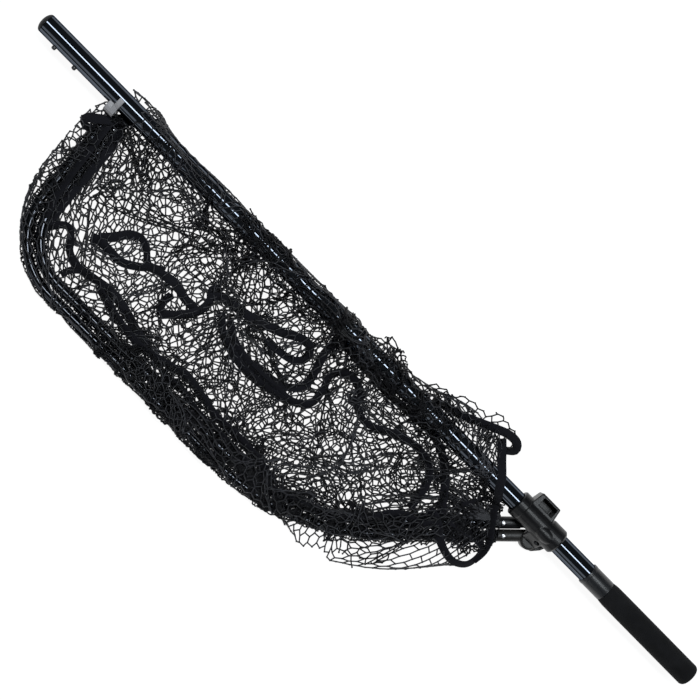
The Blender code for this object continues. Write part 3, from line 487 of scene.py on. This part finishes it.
def make_materials():
    return {
        "tube": moulded("gloss_tube", (0.086, 0.098, 0.118), (0.104, 0.117, 0.138), (0.05, 0.08),
                        6.0, 0.0, metallic=1.0, edge=0.2),
        "hoop_tube": moulded("gloss_hoop_tube", (0.05, 0.053, 0.06), (0.066, 0.07, 0.08),
                             (0.1, 0.16), 5.0, 0.0, metallic=1.0, edge=0.3),
        "plug": moulded("tip_plastic", (0.008, 0.008, 0.0085), (0.013, 0.013, 0.014), (0.5, 0.65), 0.5, 0.03,
                        specular=0.3),
        "button": moulded("button_plastic", (0.004, 0.004, 0.005), (0.008, 0.008, 0.009), (0.25, 0.4),
                          0.6, 0.01, specular=0.4),
        "ferrule": moulded("satin_ferrule", (0.006, 0.0065, 0.008), (0.011, 0.012, 0.014), (0.3, 0.42),
                           0.8, 0.01, specular=0.5),
        "grip": moulded("grip_foam", (0.003, 0.003, 0.0035), (0.008, 0.008, 0.009), (0.8, 0.95),
                        0.7, 0.16, specular=0.18),
        "yoke": moulded("yoke_plastic", (0.0035, 0.0035, 0.004), (0.007, 0.007, 0.008), (0.28, 0.4),
                        0.45, 0.025, specular=0.32),
        "arm": moulded("arm_plastic", (0.009, 0.0084, 0.0078), (0.016, 0.0148, 0.0138), (0.34, 0.46),
                       0.45, 0.03, specular=0.35),
        "clip": moulded("clip_plastic", (0.24, 0.235, 0.245), (0.36, 0.355, 0.365), (0.4, 0.55), 0.5, 0.03),
        "steel": moulded("bright_steel", (0.5, 0.5, 0.52), (0.62, 0.62, 0.64), (0.22, 0.34), 0.4, 0.004,
                         metallic=1.0),
        "netting": twine("black_twine", (0.0012, 0.0012, 0.0018), (0.0045, 0.0045, 0.0062), 0.2),
        # painted highlight: the same black twine as netting, given a lighter tone to stand in for the light
        # that catches the uppermost strands
        "painted_lit_netting": twine("lit_twine", (0.0035, 0.0035, 0.0045), (0.025, 0.025, 0.031), 0.5),
        "tape": woven("binding_weave", (0.0024, 0.0024, 0.0036), (0.0085, 0.0085, 0.0125), 0.9, 0.12, 0.03),
    }


# ---------------------------------------------------------------- handle, hoop and moulded parts

def arc_profile(centre, radius, start, end, steps):
    angles = [math.radians(start + (end - start) * i / steps) for i in range(steps + 1)]
    return [(centre[0] + radius * math.cos(a), centre[1] + radius * math.sin(a)) for a in angles]


def build_handle(materials):
    """Tube, tip plug, ferrule and grip, turned finely about the handle's axis."""
    inside_r = TUBE_R - 1.6
    front, back = TUBE_SPAN
    tube = lathe("handle_tube_skin", [
        (front, inside_r), (front, TUBE_R - 0.25), (front + 0.25, TUBE_R), (back - 0.25, TUBE_R),
        (back, TUBE_R - 0.25), (back, inside_r)], materials["tube"], "handle")
    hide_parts("handle_tube")
    steps = [math.pi / 2 * (0.02 + 0.98 * i / 14) for i in range(15)]
    dome = [(TIP_DOME * (1 - math.cos(a)), TUBE_R * math.sin(a)) for a in steps]
    plug = lathe("tip_plug_skin", dome + [(TIP_DOME + 0.1, 9.1), (TIP_DOME + 14, 9.1), (TIP_DOME + 14, 0.3)],
                 materials["plug"], "handle")
    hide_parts("tip_plug")
    start, end = FERRULE
    ferrule = lathe("grip_ferrule_skin", [
        (start, 11.1), (start, 11.8)] + arc_profile((start + 0.6, 11.8), 0.6, 180, 90, 6) + [
        (start + 3.6, 12.4), (start + 4.0, 12.15), (start + 4.3, 12.1), (end - 0.6, 12.1), (end, 11.8),
        (end, 11.1)], materials["ferrule"], "handle")
    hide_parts("grip_ferrule")
    start, end = GRIP
    swell = [(start + 0.6 * i, 12.0 + 0.9 * math.sin(math.pi / 2 * min(1, i / 16))) for i in range(2, 17)]
    grip = lathe("foam_grip_skin", [(start, 11.2), (start, 11.7), (start + 0.5, 12.05)] + swell + [
        (start + 30, 13.0)] + arc_profile((end - 5, 8.0), 5.0, 90, 2, 10) + [(end, 0.4), (end - 6, 0.4),
                                                                          (end - 7.2, 11.2)],
        materials["grip"], "handle")
    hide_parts("foam_grip")


def build_hoop_tube(kind, body, materials):
    """One bent hoop tube, swept finely along its line."""
    path = HOOP_LINES[kind]
    side = np.cross([0, 0, 1.0], headings(path))
    angles = np.arange(20) * 2 * math.pi / 20
    ring = side[:, None, :] * np.cos(angles)[None, :, None]
    ring = ring + np.array([0, 0, 1.0]) * np.sin(angles)[None, :, None]
    outer = path[:, None, :] + HOOP_R * ring
    inner = path[:, None, :] + (HOOP_R - HOOP_WALL) * ring
    rings = np.concatenate([outer, inner[::-1]])
    quads, caps = skin(rings, closed=True)
    material = materials["hoop_tube"]
    tube = make_mesh(f"hoop_tube_{kind}_skin", rings.reshape(-1, 3), quads, caps, material, body)
    tube.data.set_sharp_from_angle(angle=math.radians(40))
    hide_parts(f"hoop_tube_{kind}")


def round_edges(node, voxel_mm, smoothing):
    """Soften a CAD node's edges like a moulding, without touching its mesh."""
    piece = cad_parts[node]
    remesh = piece.modifiers.new("Fine surface", "REMESH")
    remesh.mode = "VOXEL"
    remesh.voxel_size = voxel_mm / 1000
    remesh.use_smooth_shade = True
    if smoothing:
        smooth = piece.modifiers.new("Soft edges", "SMOOTH")
        smooth.factor = 0.5
        smooth.iterations = smoothing


def finish_node(node, material, voxel_mm, smoothing=0):
    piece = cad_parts[node]
    piece.data.materials.clear()
    piece.data.materials.append(material)
    round_edges(node, voxel_mm, smoothing)


def build_mouldings(materials):
    """Give every CAD node that stays its own finish and softened edges."""
    for node, material, voxel, smoothing in (
            ("yoke_body", "yoke", 0.5, 4), ("fixed_socket_arm", "arm", 0.5, 4),
            ("swing_socket_arm", "yoke", 0.5, 4), ("storage_clip", "clip", 0.35, 2),
            ("front_eye_fixed", "arm", 0.4, 2), ("front_eye_swing", "arm", 0.4, 2),
            ("snap_button_front", "button", 0.2, 2), ("snap_button_rear", "button", 0.2, 2),
            ("snap_spring_front", "steel", 0.25, 0), ("snap_spring_rear", "steel", 0.25, 0),
            ("butt_plug", "plug", 0.6, 0), ("arm_screw_1", "steel", 0.2, 1), ("arm_screw_2", "steel", 0.2, 1),
            ("clip_screw", "steel", 0.2, 1), ("yoke_hinge_pin", "steel", 0.25, 1),
            ("front_hinge_pin", "steel", 0.25, 1), ("front_hinge_washer", "plug", 0.2, 1),
            ("socket_rivet_fixed", "steel", 0.15, 1), ("socket_rivet_swing", "steel", 0.15, 1),
            ("front_rivet_fixed", "steel", 0.15, 1), ("front_rivet_swing", "steel", 0.15, 1)):
        finish_node(node, materials[material], voxel, smoothing)


# ---------------------------------------------------------------- netting

def honeycomb(width, height):
    """Return a patch of honeycomb: each knot's shares of the way across, and each strand's two knots."""
    columns = int(width / (MESH_SIDE * math.sqrt(3) / 2)) + 1
    rows = int(height / (1.5 * MESH_SIDE)) + 1
    i, j = np.meshgrid(np.arange(columns), np.arange(rows), indexing="ij")
    odd = (i + j) % 2
    number = i * rows + j
    across = np.stack([number[:-1], number[1:]], -1).reshape(-1, 2)
    upright = np.stack([number[:, :-1], number[:, 1:]], -1)[odd[:, :-1] == 0]
    share = np.stack([i / max(columns - 1, 1), j / max(rows - 1, 1)], -1).reshape(-1, 2)
    return share, np.vstack([across, upright])


def make_waves(rng, count, longest, shortest):
    """Return a smooth seeded noise over the plane, of RMS height 1, with waves between two lengths."""
    lengths = np.exp(rng.uniform(math.log(shortest), math.log(longest), count))
    turns = rng.uniform(0, 2 * math.pi, count)
    phases = rng.uniform(0, 2 * math.pi, count)
    strengths = (lengths / longest) ** 0.6
    strengths /= math.sqrt((strengths ** 2).sum() / 2)

    def field(points):
        total = np.zeros(len(points))
        for length, turn, phase, strength in zip(lengths, turns, phases, strengths):
            along = points[:, 0] * math.cos(turn) + points[:, 1] * math.sin(turn)
            total += strength * np.sin(along * 2 * math.pi / length + phase)
        return total

    return field


def settle(points, strands, rounds, limit, pull=0.55):
    """Draw long strands back towards their length, for some rounds, keeping the knots within limits."""
    first, last = strands[:, 0], strands[:, 1]
    count = len(points)
    for _ in range(rounds):
        gap = points[last] - points[first]
        length = np.linalg.norm(gap, axis=1)
        share = pull * np.maximum(length - MESH_SIDE, 0) / np.maximum(length, 1e-6) / 2
        move = gap * share[:, None]
        for k in range(3):
            points[:, k] += np.bincount(first, move[:, k], count) - np.bincount(last, move[:, k], count)
        points = limit(points)
    return points


def off_the_handle(points, clearance=1.0):
    """Push knots out of the handle tube."""
    radial = points[:, 1:] - np.array([0, TUBE_Z])
    distance = np.linalg.norm(radial, axis=1)
    low = TUBE_R + clearance
    close = (distance < low) & (points[:, 0] < 700)
    points[close, 1:] = np.array([0, TUBE_Z]) + radial[close] / np.maximum(distance[close, None], 1e-6) * low
    return points


def over_the_hoop(points, clearance=0.9):
    """Lift knots that lie on a hoop tube out of it."""
    for line in HOOP_LINES.values():
        near, distance = nearest_on(points, line[::4])
        low = HEM_R + clearance
        close = distance < low
        away = points[close] - near[close]
        away[:, 2] += 0.5
        points[close] = near[close] + unit(away) * low
    return points


def within_outline(points):
    """Bring knots that stray past the netting's outline back onto it."""
    outside = ~inside(points[:, :2], PLAN)
    if outside.any():
        near, _ = nearest_on(points[outside, :2], PLAN)
        points[outside, :2] = near
    return points


def fold_at_outline(points, keep=0.7):
    """Fold the netting back on itself where it passes its outline."""
    outside = ~inside(points[:, :2], PLAN)
    near, _ = nearest_on(points[outside, :2], PLAN)
    points[outside, :2] = near + (near - points[outside, :2]) * keep
    points[outside, 2] -= 2.0
    return points


def past_outline(points):
    """How far each knot is past the netting's outline."""
    _, distance = nearest_on(points[:, :2], PLAN)
    return np.where(inside(points[:, :2], PLAN), 0, distance)


HOOP_POLYGON = np.vstack([HOOP_LINES["fixed"][::3, :2], HOOP_LINES["fixed"][:1, :2]])


def root_floor(points):
    """The lowest height that the fixed half's netting may have at each place."""
    x, y = points[:, 0], points[:, 1]
    floor = np.full(len(points), ROOT_FLOOR)
    floor[y > -16] = FAR_FLOOR
    floor[~inside(points[:, :2], HOOP_POLYGON) & (y < -16)] = LOWEST_KNOT
    floor[(x > 676) & (y < -14) & (y > -66)] = ARM_FLOOR
    return floor


def root_limits(points):
    points = within_outline(points)
    points = off_the_handle(points)
    points[:, 2] = np.maximum(points[:, 2], root_floor(points))
    return points


def lay_over_hoop(points):
    """Lift the fixed half's netting clear of the hoop tubes and of what lies under it."""
    points = over_the_hoop(points)
    points[:, 2] = np.maximum(points[:, 2], root_floor(points))
    return points


def twine_mesh(name, points, strands, rng, material, body=None, bow=0.2):
    """Make the strands as thin bowed three-sided tubes, with a knot at every crossing."""
    first, last = points[strands[:, 0]], points[strands[:, 1]]
    gap = last - first
    length = np.linalg.norm(gap, axis=1)
    slack = np.sqrt(np.maximum(MESH_SIDE ** 2 - length ** 2, 0))
    lean = rng.normal(size=gap.shape) * [1, 1, 0.45]
    lean -= gap * ((lean * gap).sum(1) / np.maximum(length ** 2, 1e-6))[:, None]
    sag = unit(lean) * np.minimum(bow * slack, 2.2)[:, None]
    up = np.where(np.abs(gap[:, 2:]) > 0.9 * length[:, None], [1.0, 0, 0], [0, 0, 1.0])
    side = unit(np.cross(gap, up))
    top = unit(np.cross(side, gap))
    share = np.array([0, 0.3, 0.7, 1.0])
    centre = first[:, None] + gap[:, None] * share[None, :, None]
    centre = centre + sag[:, None] * np.sin(math.pi * share)[None, :, None]
    angles = np.radians([90, 210, 330])
    around = side[:, None] * np.cos(angles)[None, :, None] + top[:, None] * np.sin(angles)[None, :, None]
    rings = centre[:, :, None] + TWINE_R * around[:, None]
    count = len(strands)
    index = np.arange(count * 12).reshape(count, 4, 3)
    near, far = index[:, :-1], index[:, 1:]
    quads = np.stack([near, np.roll(near, -1, 2), np.roll(far, -1, 2), far], -1).reshape(-1, 4)
    caps = np.concatenate([index[:, 0, ::-1], index[:, -1]])
    used = np.unique(strands)
    size = KNOT_R * rng.uniform(0.8, 1.2, len(used))[:, None, None]
    corners = np.array([(1, 0, 0), (0, 1, 0), (-1, 0, 0), (0, -1, 0), (0, 0, 1), (0, 0, -1)], float)
    knots = points[used][:, None] + size * corners[None]
    base = count * 12 + np.arange(len(used))[:, None, None] * 6
    faces = np.array([(i, (i + 1) % 4, 4) for i in range(4)] + [((i + 1) % 4, i, 5) for i in range(4)])
    knot_faces = (base + faces[None]).reshape(-1, 3)
    vertices = np.concatenate([rings.reshape(-1, 3), knots.reshape(-1, 3)])
    return make_mesh(name, vertices, quads, np.vstack([caps, knot_faces]), material, body)


def keep_strands(strands, keep):
    """Keep only strands whose two knots are both kept."""
    return strands[keep[strands[:, 0]] & keep[strands[:, 1]]]


def section(share, x, over):
    """Map a share of the way round the netting's section to y and z.

    The way starts under the outside of the hoop, passes over both tubes and the open middle, then
    over (or under) the handle to the far edge, and back under the handle to the hoop's inside.
    """
    near = np.interp(x, NEAR_EDGE[:, 0], NEAR_EDGE[:, 1])
    far = np.interp(x, FAR_EDGE[:, 0], FAR_EDGE[:, 1])
    inner = np.interp(x, INSIDE_EDGE[:, 0], INSIDE_EDGE[:, 1])
    middle = (inner - 30) / 2
    zero = np.zeros_like(x)
    ys = [near + 6, near, near + 8, inner, middle, zero - 32, zero - 17, zero - 9, zero, zero + 9,
          zero + 14, far, far - 1, zero + 12, zero, zero - 14, zero - 30, middle, inner]
    top = [15.0, 16.0, 14.6, 14.8, 15.0, 15.6, 17.0]
    over_z = [15.0, 25.0, 37.5, 40.5, 37.5, 27.0, 20.0]
    zs = [2.0, 7.0, 14.6, 14.8, 12.0]
    zs = [zero + z for z in zs] + [np.where(over, b, a) for a, b in zip(top, over_z)]
    zs += [zero + z for z in (16.0, 14.6, 14.6, 14.2, 10.0, 8.6, 8.8)]
    stops = np.array([0, 9, 22, 48, 104, 158, 178, 192, 204, 216, 228, 240, 246, 254, 266, 280, 298,
                      352, 408], float)
    stops /= stops[-1]
    y, z = np.zeros_like(x), np.zeros_like(x)
    for k in range(len(stops) - 1):
        part = (share >= stops[k]) & (share <= stops[k + 1])
        t = (share[part] - stops[k]) / (stops[k + 1] - stops[k])
        y[part] = ys[k][part] * (1 - t) + ys[k + 1][part] * t
        z[part] = zs[k][part] * (1 - t) + zs[k + 1][part] * t
    return y, z


def edge_by_x(points, low, high, pick):
    """Return a table of x and the outermost y of some plan points."""
    grid = np.linspace(low, high, 120)
    rows = []
    for x in grid:
        close = points[np.abs(points[:, 0] - x) < 8]
        rows.append((x, pick(close[:, 1])))
    return np.array(rows)


def near_half(points):
    return points[points[:, 1] < -20]


NEAR_EDGE = edge_by_x(near_half(PLAN), 97, 706, np.min)
FAR_EDGE = edge_by_x(PLAN[PLAN[:, 1] > -21], 99, 690, np.max)
INSIDE_EDGE = edge_by_x(INNER_EDGE[INNER_EDGE[:, 1] < -10], 140, 700, np.min)


def build_wrap(rng, materials):
    """The fixed half's netting, wrapped round the hoop and the handle, crumpled."""
    share, strands = honeycomb(WRAP_SIZE[0] / WRAP_GATHER[0], WRAP_SIZE[1] / WRAP_GATHER[1])
    flat = share * WRAP_SIZE
    ends = np.minimum(1, 10 * share[:, 0] * (1 - share[:, 0]))
    sway_x = make_waves(rng, 14, 170, 38)
    sway_y = make_waves(rng, 14, 150, 34)
    lift = make_waves(rng, 12, 90, 22)
    x = WRAP_START_X + flat[:, 0] + 12 * ends * sway_x(flat)
    around = np.clip(share[:, 1] + 12 / WRAP_SIZE[1] * sway_y(flat), 0, 1)
    over = x < OVER_TUBE[1]
    y, z = section(around, x, over)
    z = z + 2.2 * lift(flat) + rng.normal(0, 0.5, len(x))
    points = np.stack([x, y, z], -1)
    points[:, :2] += rng.normal(0, 0.9, (len(x), 2))
    points = root_limits(fold_at_outline(points))
    points = settle(points, strands, 40, root_limits)
    points = lay_over_hoop(points)
    strands = keep_strands(strands, ~on_bare_handle(points))
    middle = points[strands[:, 0], 0] < np.median(points[:, 0])
    # the wrap lies on top, so it takes the lighter twine, whose tone is a painted highlight on the uppermost
    # strands
    material = materials["painted_lit_netting"]
    netting = twine_mesh("netting_wrap_front", points, strands[middle], rng, material, "root")
    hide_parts("net_bag_fixed")
    netting = twine_mesh("netting_wrap_rear", points, strands[~middle], rng, material, "root")


def resting_height(points):
    """The height of what lies under the loose folds: the handle, and the bag's own layers beside it."""
    across = np.abs(points[:, 1])
    beside = np.where(points[:, 1] > 0, FAR_FLOOR + 1.5, ROOT_FLOOR + 2.0)
    slope = TUBE_Z + 4 - 1.9 * (across - TUBE_R - 1)
    arch = TUBE_Z + np.sqrt(np.maximum((TUBE_R + 1.2) ** 2 - points[:, 1] ** 2, 0))
    return np.where(across < TUBE_R + 0.8, arch, np.maximum(beside, slope))


def build_crumple(name, seed, material, low, high, rise, gather, sway):
    """A loose crumpled fold of netting over a plan rectangle, lying up to a rise above what is under it.

    gather is how far the netting is drawn together: 1 is flat, 0.5 is half its width.
    """
    rng = np.random.default_rng(seed)
    size = np.array(high, float) - np.array(low, float)
    share, strands = honeycomb(size[0] / gather[0], size[1] / gather[1])
    flat = share * size
    sway_x = make_waves(rng, 12, 120, 28)
    sway_y = make_waves(rng, 12, 120, 28)
    lift = make_waves(rng, 10, 80, 22)
    reach = min(sway, 0.28 * size[1])
    points = np.zeros((len(flat), 3))
    points[:, 0] = low[0] + flat[:, 0] + sway * sway_x(flat)
    points[:, 1] = low[1] + flat[:, 1] + reach * sway_y(flat)
    points[:, :2] += rng.normal(0, 0.8, (len(flat), 2))
    strands = keep_strands(strands, past_outline(points) < 4)
    points = fold_at_outline(points)
    points[:, 2] = resting_height(points) + rise * (0.5 + 0.5 * np.clip(lift(flat), -1, 1))
    points = settle(points, strands, 30, root_limits)
    points = lay_over_hoop(points)
    strands = keep_strands(strands, ~on_bare_handle(points))
    netting = twine_mesh(name, points, strands, rng, material, "root")


def on_bare_handle(points):
    """Tell which knots lie on the handle where it shows."""
    on_handle = (np.abs(points[:, 1]) < 14) & (points[:, 2] > 17)
    return on_handle & ((points[:, 0] < OVER_TUBE[0]) | (points[:, 0] > OVER_TUBE[1]))


def beside_path(path, along):
    """Return the places at some distances along a path, and the level direction to its side there."""
    index = np.clip(along / PATH_STEP, 0, len(path) - 1.001)
    whole = index.astype(int)
    part = (index - whole)[:, None]
    centre = path[whole] * (1 - part) + path[whole + 1] * part
    return centre, np.cross([0, 0, 1.0], headings(path))[whole]


def build_rim(name, seed, material, span, across, height, rise, gather):
    """Netting bunched along the hoop's two tubes, over a span of the way from the yoke to the front."""
    rng = np.random.default_rng(seed)
    path = hoop_line(HOOP_SPACING / 2, 60.0, BAR_HEM_END, PATH_STEP)
    length = PATH_STEP * (len(path) - 1)
    start, end = span[0] * length, span[1] * length
    width = across[1] - across[0]
    share, strands = honeycomb((end - start) / gather[0], width / gather[1])
    flat = share * [end - start, width]
    sway = make_waves(rng, 12, 90, 20)
    swing = make_waves(rng, 12, 70, 18)
    lift = make_waves(rng, 10, 60, 16)
    along = start + flat[:, 0] + 9 * sway(flat)
    out = across[0] + flat[:, 1] + 0.2 * width * swing(flat)
    centre, side = beside_path(path, along)
    points = centre + side * out[:, None]
    points[:, 2] = height + rise * (0.5 + 0.5 * np.clip(lift(flat), -1, 1))
    points = settle(points, strands, 20, root_limits)
    points = lay_over_hoop(points)
    netting = twine_mesh(name, points, strands, rng, material, "root")


def build_hem(kind, body, rng, materials):
    """The netting's edge, gathered round one hoop tube. It slides underneath where the tube shows."""
    path = hoop_line(OFFSET[kind], HEM_START[kind], BAR_HEM_END, PATH_STEP)
    length = PATH_STEP * (len(path) - 1)
    girth = 2 * math.pi * (HEM_R + 0.6)
    share, strands = honeycomb(length / 0.42, girth / 0.8)
    along = share[:, 0] * length + rng.normal(0, 1.0, len(share))
    centre, side = beside_path(path, along)
    ripple = make_waves(rng, 12, 60, 12)
    flat = share * [length, girth]
    angle = 2 * math.pi * (share[:, 1] + 0.03 * ripple(flat)) - math.pi / 2
    bare = np.exp(-((centre[:, 0] - 208) / 84) ** 4) * (centre[:, 1] < -90)
    bare = np.maximum(bare, np.exp(-((centre[:, 0] - 556) / 30) ** 4))
    from_below = np.mod(angle + math.pi / 2 + math.pi, 2 * math.pi) - math.pi
    angle = -math.pi / 2 + from_below * (1 - 0.66 * bare)
    radius = HEM_R + 0.2 + 0.9 * np.abs(ripple(flat[:, ::-1])) + rng.uniform(0, 0.5, len(share))
    points = centre + side * (radius * np.cos(angle))[:, None]
    points[:, 2] += radius * np.sin(angle)
    points[:, 2] = np.maximum(points[:, 2], LOWEST_KNOT)
    hem = twine_mesh(f"hem_{kind}_gathers", points, strands, rng, materials["netting"], body, bow=0.16)
    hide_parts(f"hem_{kind}")


def build_swing_netting(rng, materials):
    """The swing half's netting, flat under the fixed half's, which it joins along the hinge line."""
    size = np.array([SWING_NET_X[1] - SWING_NET_X[0], SWING_NET_DEPTH + HINGE_CLIMB[0]])
    share, strands = honeycomb(size[0] / SWING_GATHER, size[1] / SWING_GATHER)
    flat = share * size
    sway_x = make_waves(rng, 12, 140, 34)
    sway_y = make_waves(rng, 12, 120, 30)
    ends = np.minimum(1, 10 * share[:, 0] * (1 - share[:, 0]))
    x = SWING_NET_X[0] + flat[:, 0] + 12 * ends * sway_x(flat)
    inner = np.interp(x, INSIDE_EDGE[:, 0], INSIDE_EDGE[:, 1]) - 3
    climb = np.clip(1 - flat[:, 1] / HINGE_CLIMB[0], 0, 1)
    across = np.maximum(flat[:, 1] - HINGE_CLIMB[0], 0) / SWING_NET_DEPTH
    middle = np.minimum(1, 6 * across * (1 - across))
    depth = across + 0.07 * middle * sway_y(flat)
    y = HINGE_EDGE_Y + (inner - HINGE_EDGE_Y) * depth + HINGE_CLIMB[1] * climb
    lift = make_waves(rng, 10, 80, 20)
    z = SWING_NET_Z + 1.7 * np.clip(lift(flat), -1, 1)
    z += (JOIN_HEIGHT - z) * climb
    points = np.stack([x, y, z], -1)
    at_edge = (climb > 0) | (share[:, 1] > 0.999)
    edge = points[at_edge].copy()

    def limits(knots):
        knots[:, 2] = np.clip(knots[:, 2], LOWEST_KNOT, 6.0)
        knots[at_edge] = edge
        return knots

    points = settle(points, strands, 30, limits)
    netting = twine_mesh("netting_swing", points, strands, rng, materials["netting"])
    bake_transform(netting)
    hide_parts("net_bag_swing")


# ---------------------------------------------------------------- binding tapes

def build_tape(name, route, material):
    """One length of binding tape: a soft ribbon with rolled edges along its route."""
    curve = smooth_curve(route, 2.5)
    path, roll = curve[:, :3], np.radians(curve[:, 3])
    ahead = headings(path)
    level = unit(np.cross([0, 0, 1.0], ahead))
    rise = np.cross(ahead, level)
    side = level * np.cos(roll)[:, None] + rise * np.sin(roll)[:, None]
    top = np.cross(ahead, side)
    half, thick = TAPE_WIDTH / 2, TAPE_THICK / 2
    outline = [(-half, -0.3 * thick), (-0.86 * half, -thick), (0, -0.8 * thick), (0.86 * half, -thick),
               (half, -0.3 * thick), (half, 0.3 * thick), (0.86 * half, thick), (0, 0.8 * thick),
               (-0.86 * half, thick), (-half, 0.3 * thick)]
    rings = np.stack([path + side * a + top * b for a, b in outline], axis=1)
    rings[:, :, 2] = np.maximum(rings[:, :, 2], 0.6)
    quads, caps = skin(rings)
    piece = make_mesh(f"tape_{name}", rings.reshape(-1, 3), quads, caps, material, "root")
    return piece


def build_tapes(materials):
    made = [build_tape(name, route, materials["tape"]) for name, route in TAPES.items()]
    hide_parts("binding_tape")


# ---------------------------------------------------------------- stage, light and camera

def build_stage():
    material, tree, shader = new_material("pale_floor")
    shade = noise(tree, 1.5)
    tint(tree, shader, shade.outputs["Fac"], (0.14, 0.14, 0.14), (0.16, 0.16, 0.16))
    shader.inputs["Roughness"].default_value = 1.0
    shader.inputs["Specular IOR Level"].default_value = 0.0
    shader.inputs["Emission Color"].default_value = (1, 1, 1, 1)
    shader.inputs["Emission Strength"].default_value = 0.93
    size = 6.0
    mesh = bpy.data.meshes.new("floor")
    corners = [(-size, -size, 0), (size, -size, 0), (size, size, 0), (-size, size, 0)]
    mesh.from_pydata(corners, [], [(0, 1, 2, 3)])
    mesh.materials.append(material)
    floor = bpy.data.objects.new("floor", mesh)
    floor.location.z = -0.0004
    bpy.context.scene.collection.objects.link(floor)


def add_area_light(name, place, target, size, power, colour=(1, 1, 1)):
    light = bpy.data.lights.new(name, "AREA")
    light.shape = "RECTANGLE"
    light.size, light.size_y = size
    light.energy = power
    light.color = colour
    lamp = bpy.data.objects.new(name, light)
    lamp.location = place
    back = (Vector(place) - Vector(target)).normalized()
    along = Vector((1, 0, 0))
    side = (along - along.dot(back) * back).normalized()
    turn = Matrix((side, back.cross(side), back)).transposed().to_4x4()
    lamp.matrix_world = Matrix.Translation(place) @ turn
    bpy.context.scene.collection.objects.link(lamp)


def build_light():
    world = bpy.data.worlds.new("studio")
    world.use_nodes = True
    world.node_tree.nodes["Background"].inputs["Color"].default_value = (0.9, 0.95, 1.0, 1)
    world.node_tree.nodes["Background"].inputs["Strength"].default_value = 0.06
    bpy.context.scene.world = world
    axis = to_row((482, 0, 27.5))
    add_area_light("strip", (axis[0], axis[1] + 0.46, 2.2), axis, (4.6, 0.4), 64, (0.9, 0.96, 1.0))
    add_area_light("side", (axis[0], axis[1] - 1.9, 1.1), axis, (3.5, 0.9), 7, (0.95, 0.98, 1.0))
    bpy.context.scene.view_settings.view_transform = "Standard"


def build_camera():
    cos_e, sin_e = math.cos(CAMERA_ELEVATION), math.sin(CAMERA_ELEVATION)
    back = Vector((math.sin(CAMERA_AZIMUTH) * cos_e, -math.cos(CAMERA_AZIMUTH) * cos_e, sin_e))
    right = Vector((0, 0, 1)).cross(back).normalized()
    up = back.cross(right)
    cos_r, sin_r = math.cos(CAMERA_ROLL), math.sin(CAMERA_ROLL)
    turned_right = cos_r * right + sin_r * up
    turned_up = cos_r * up - sin_r * right
    eye = Vector(to_row(CAMERA_TARGET)) + back * CAMERA_DISTANCE
    camera = bpy.data.objects.new("camera", bpy.data.cameras.new("camera"))
    camera.data.lens = CAMERA_LENS
    camera.data.sensor_width = 36.0
    turn = Matrix((turned_right, turned_up, back)).transposed().to_4x4()
    camera.matrix_world = Matrix.Translation(eye) @ turn
    bpy.context.scene.collection.objects.link(camera)
    bpy.context.scene.camera = camera


def main():
    materials = make_materials()
    build_camera()
    build_stage()
    build_light()
    build_handle(materials)
    build_hoop_tube("fixed", "root", materials)
    build_hoop_tube("swing", "swing_hoop", materials)
    build_mouldings(materials)
    build_wrap(np.random.default_rng(11), materials)
    for name, seed, low, high, rise, gather, sway in CRUMPLES:
        build_crumple(name, seed, materials["netting"], low, high, rise, gather, sway)
    for name, seed, material, span, across, height, rise, gather in RIMS:
        build_rim(name, seed, materials[material], span, across, height, rise, gather)
    build_hem("fixed", "root", np.random.default_rng(41), materials)
    build_hem("swing", "swing_hoop", np.random.default_rng(43), materials)
    build_swing_netting(np.random.default_rng(51), materials)
    build_tapes(materials)


main()
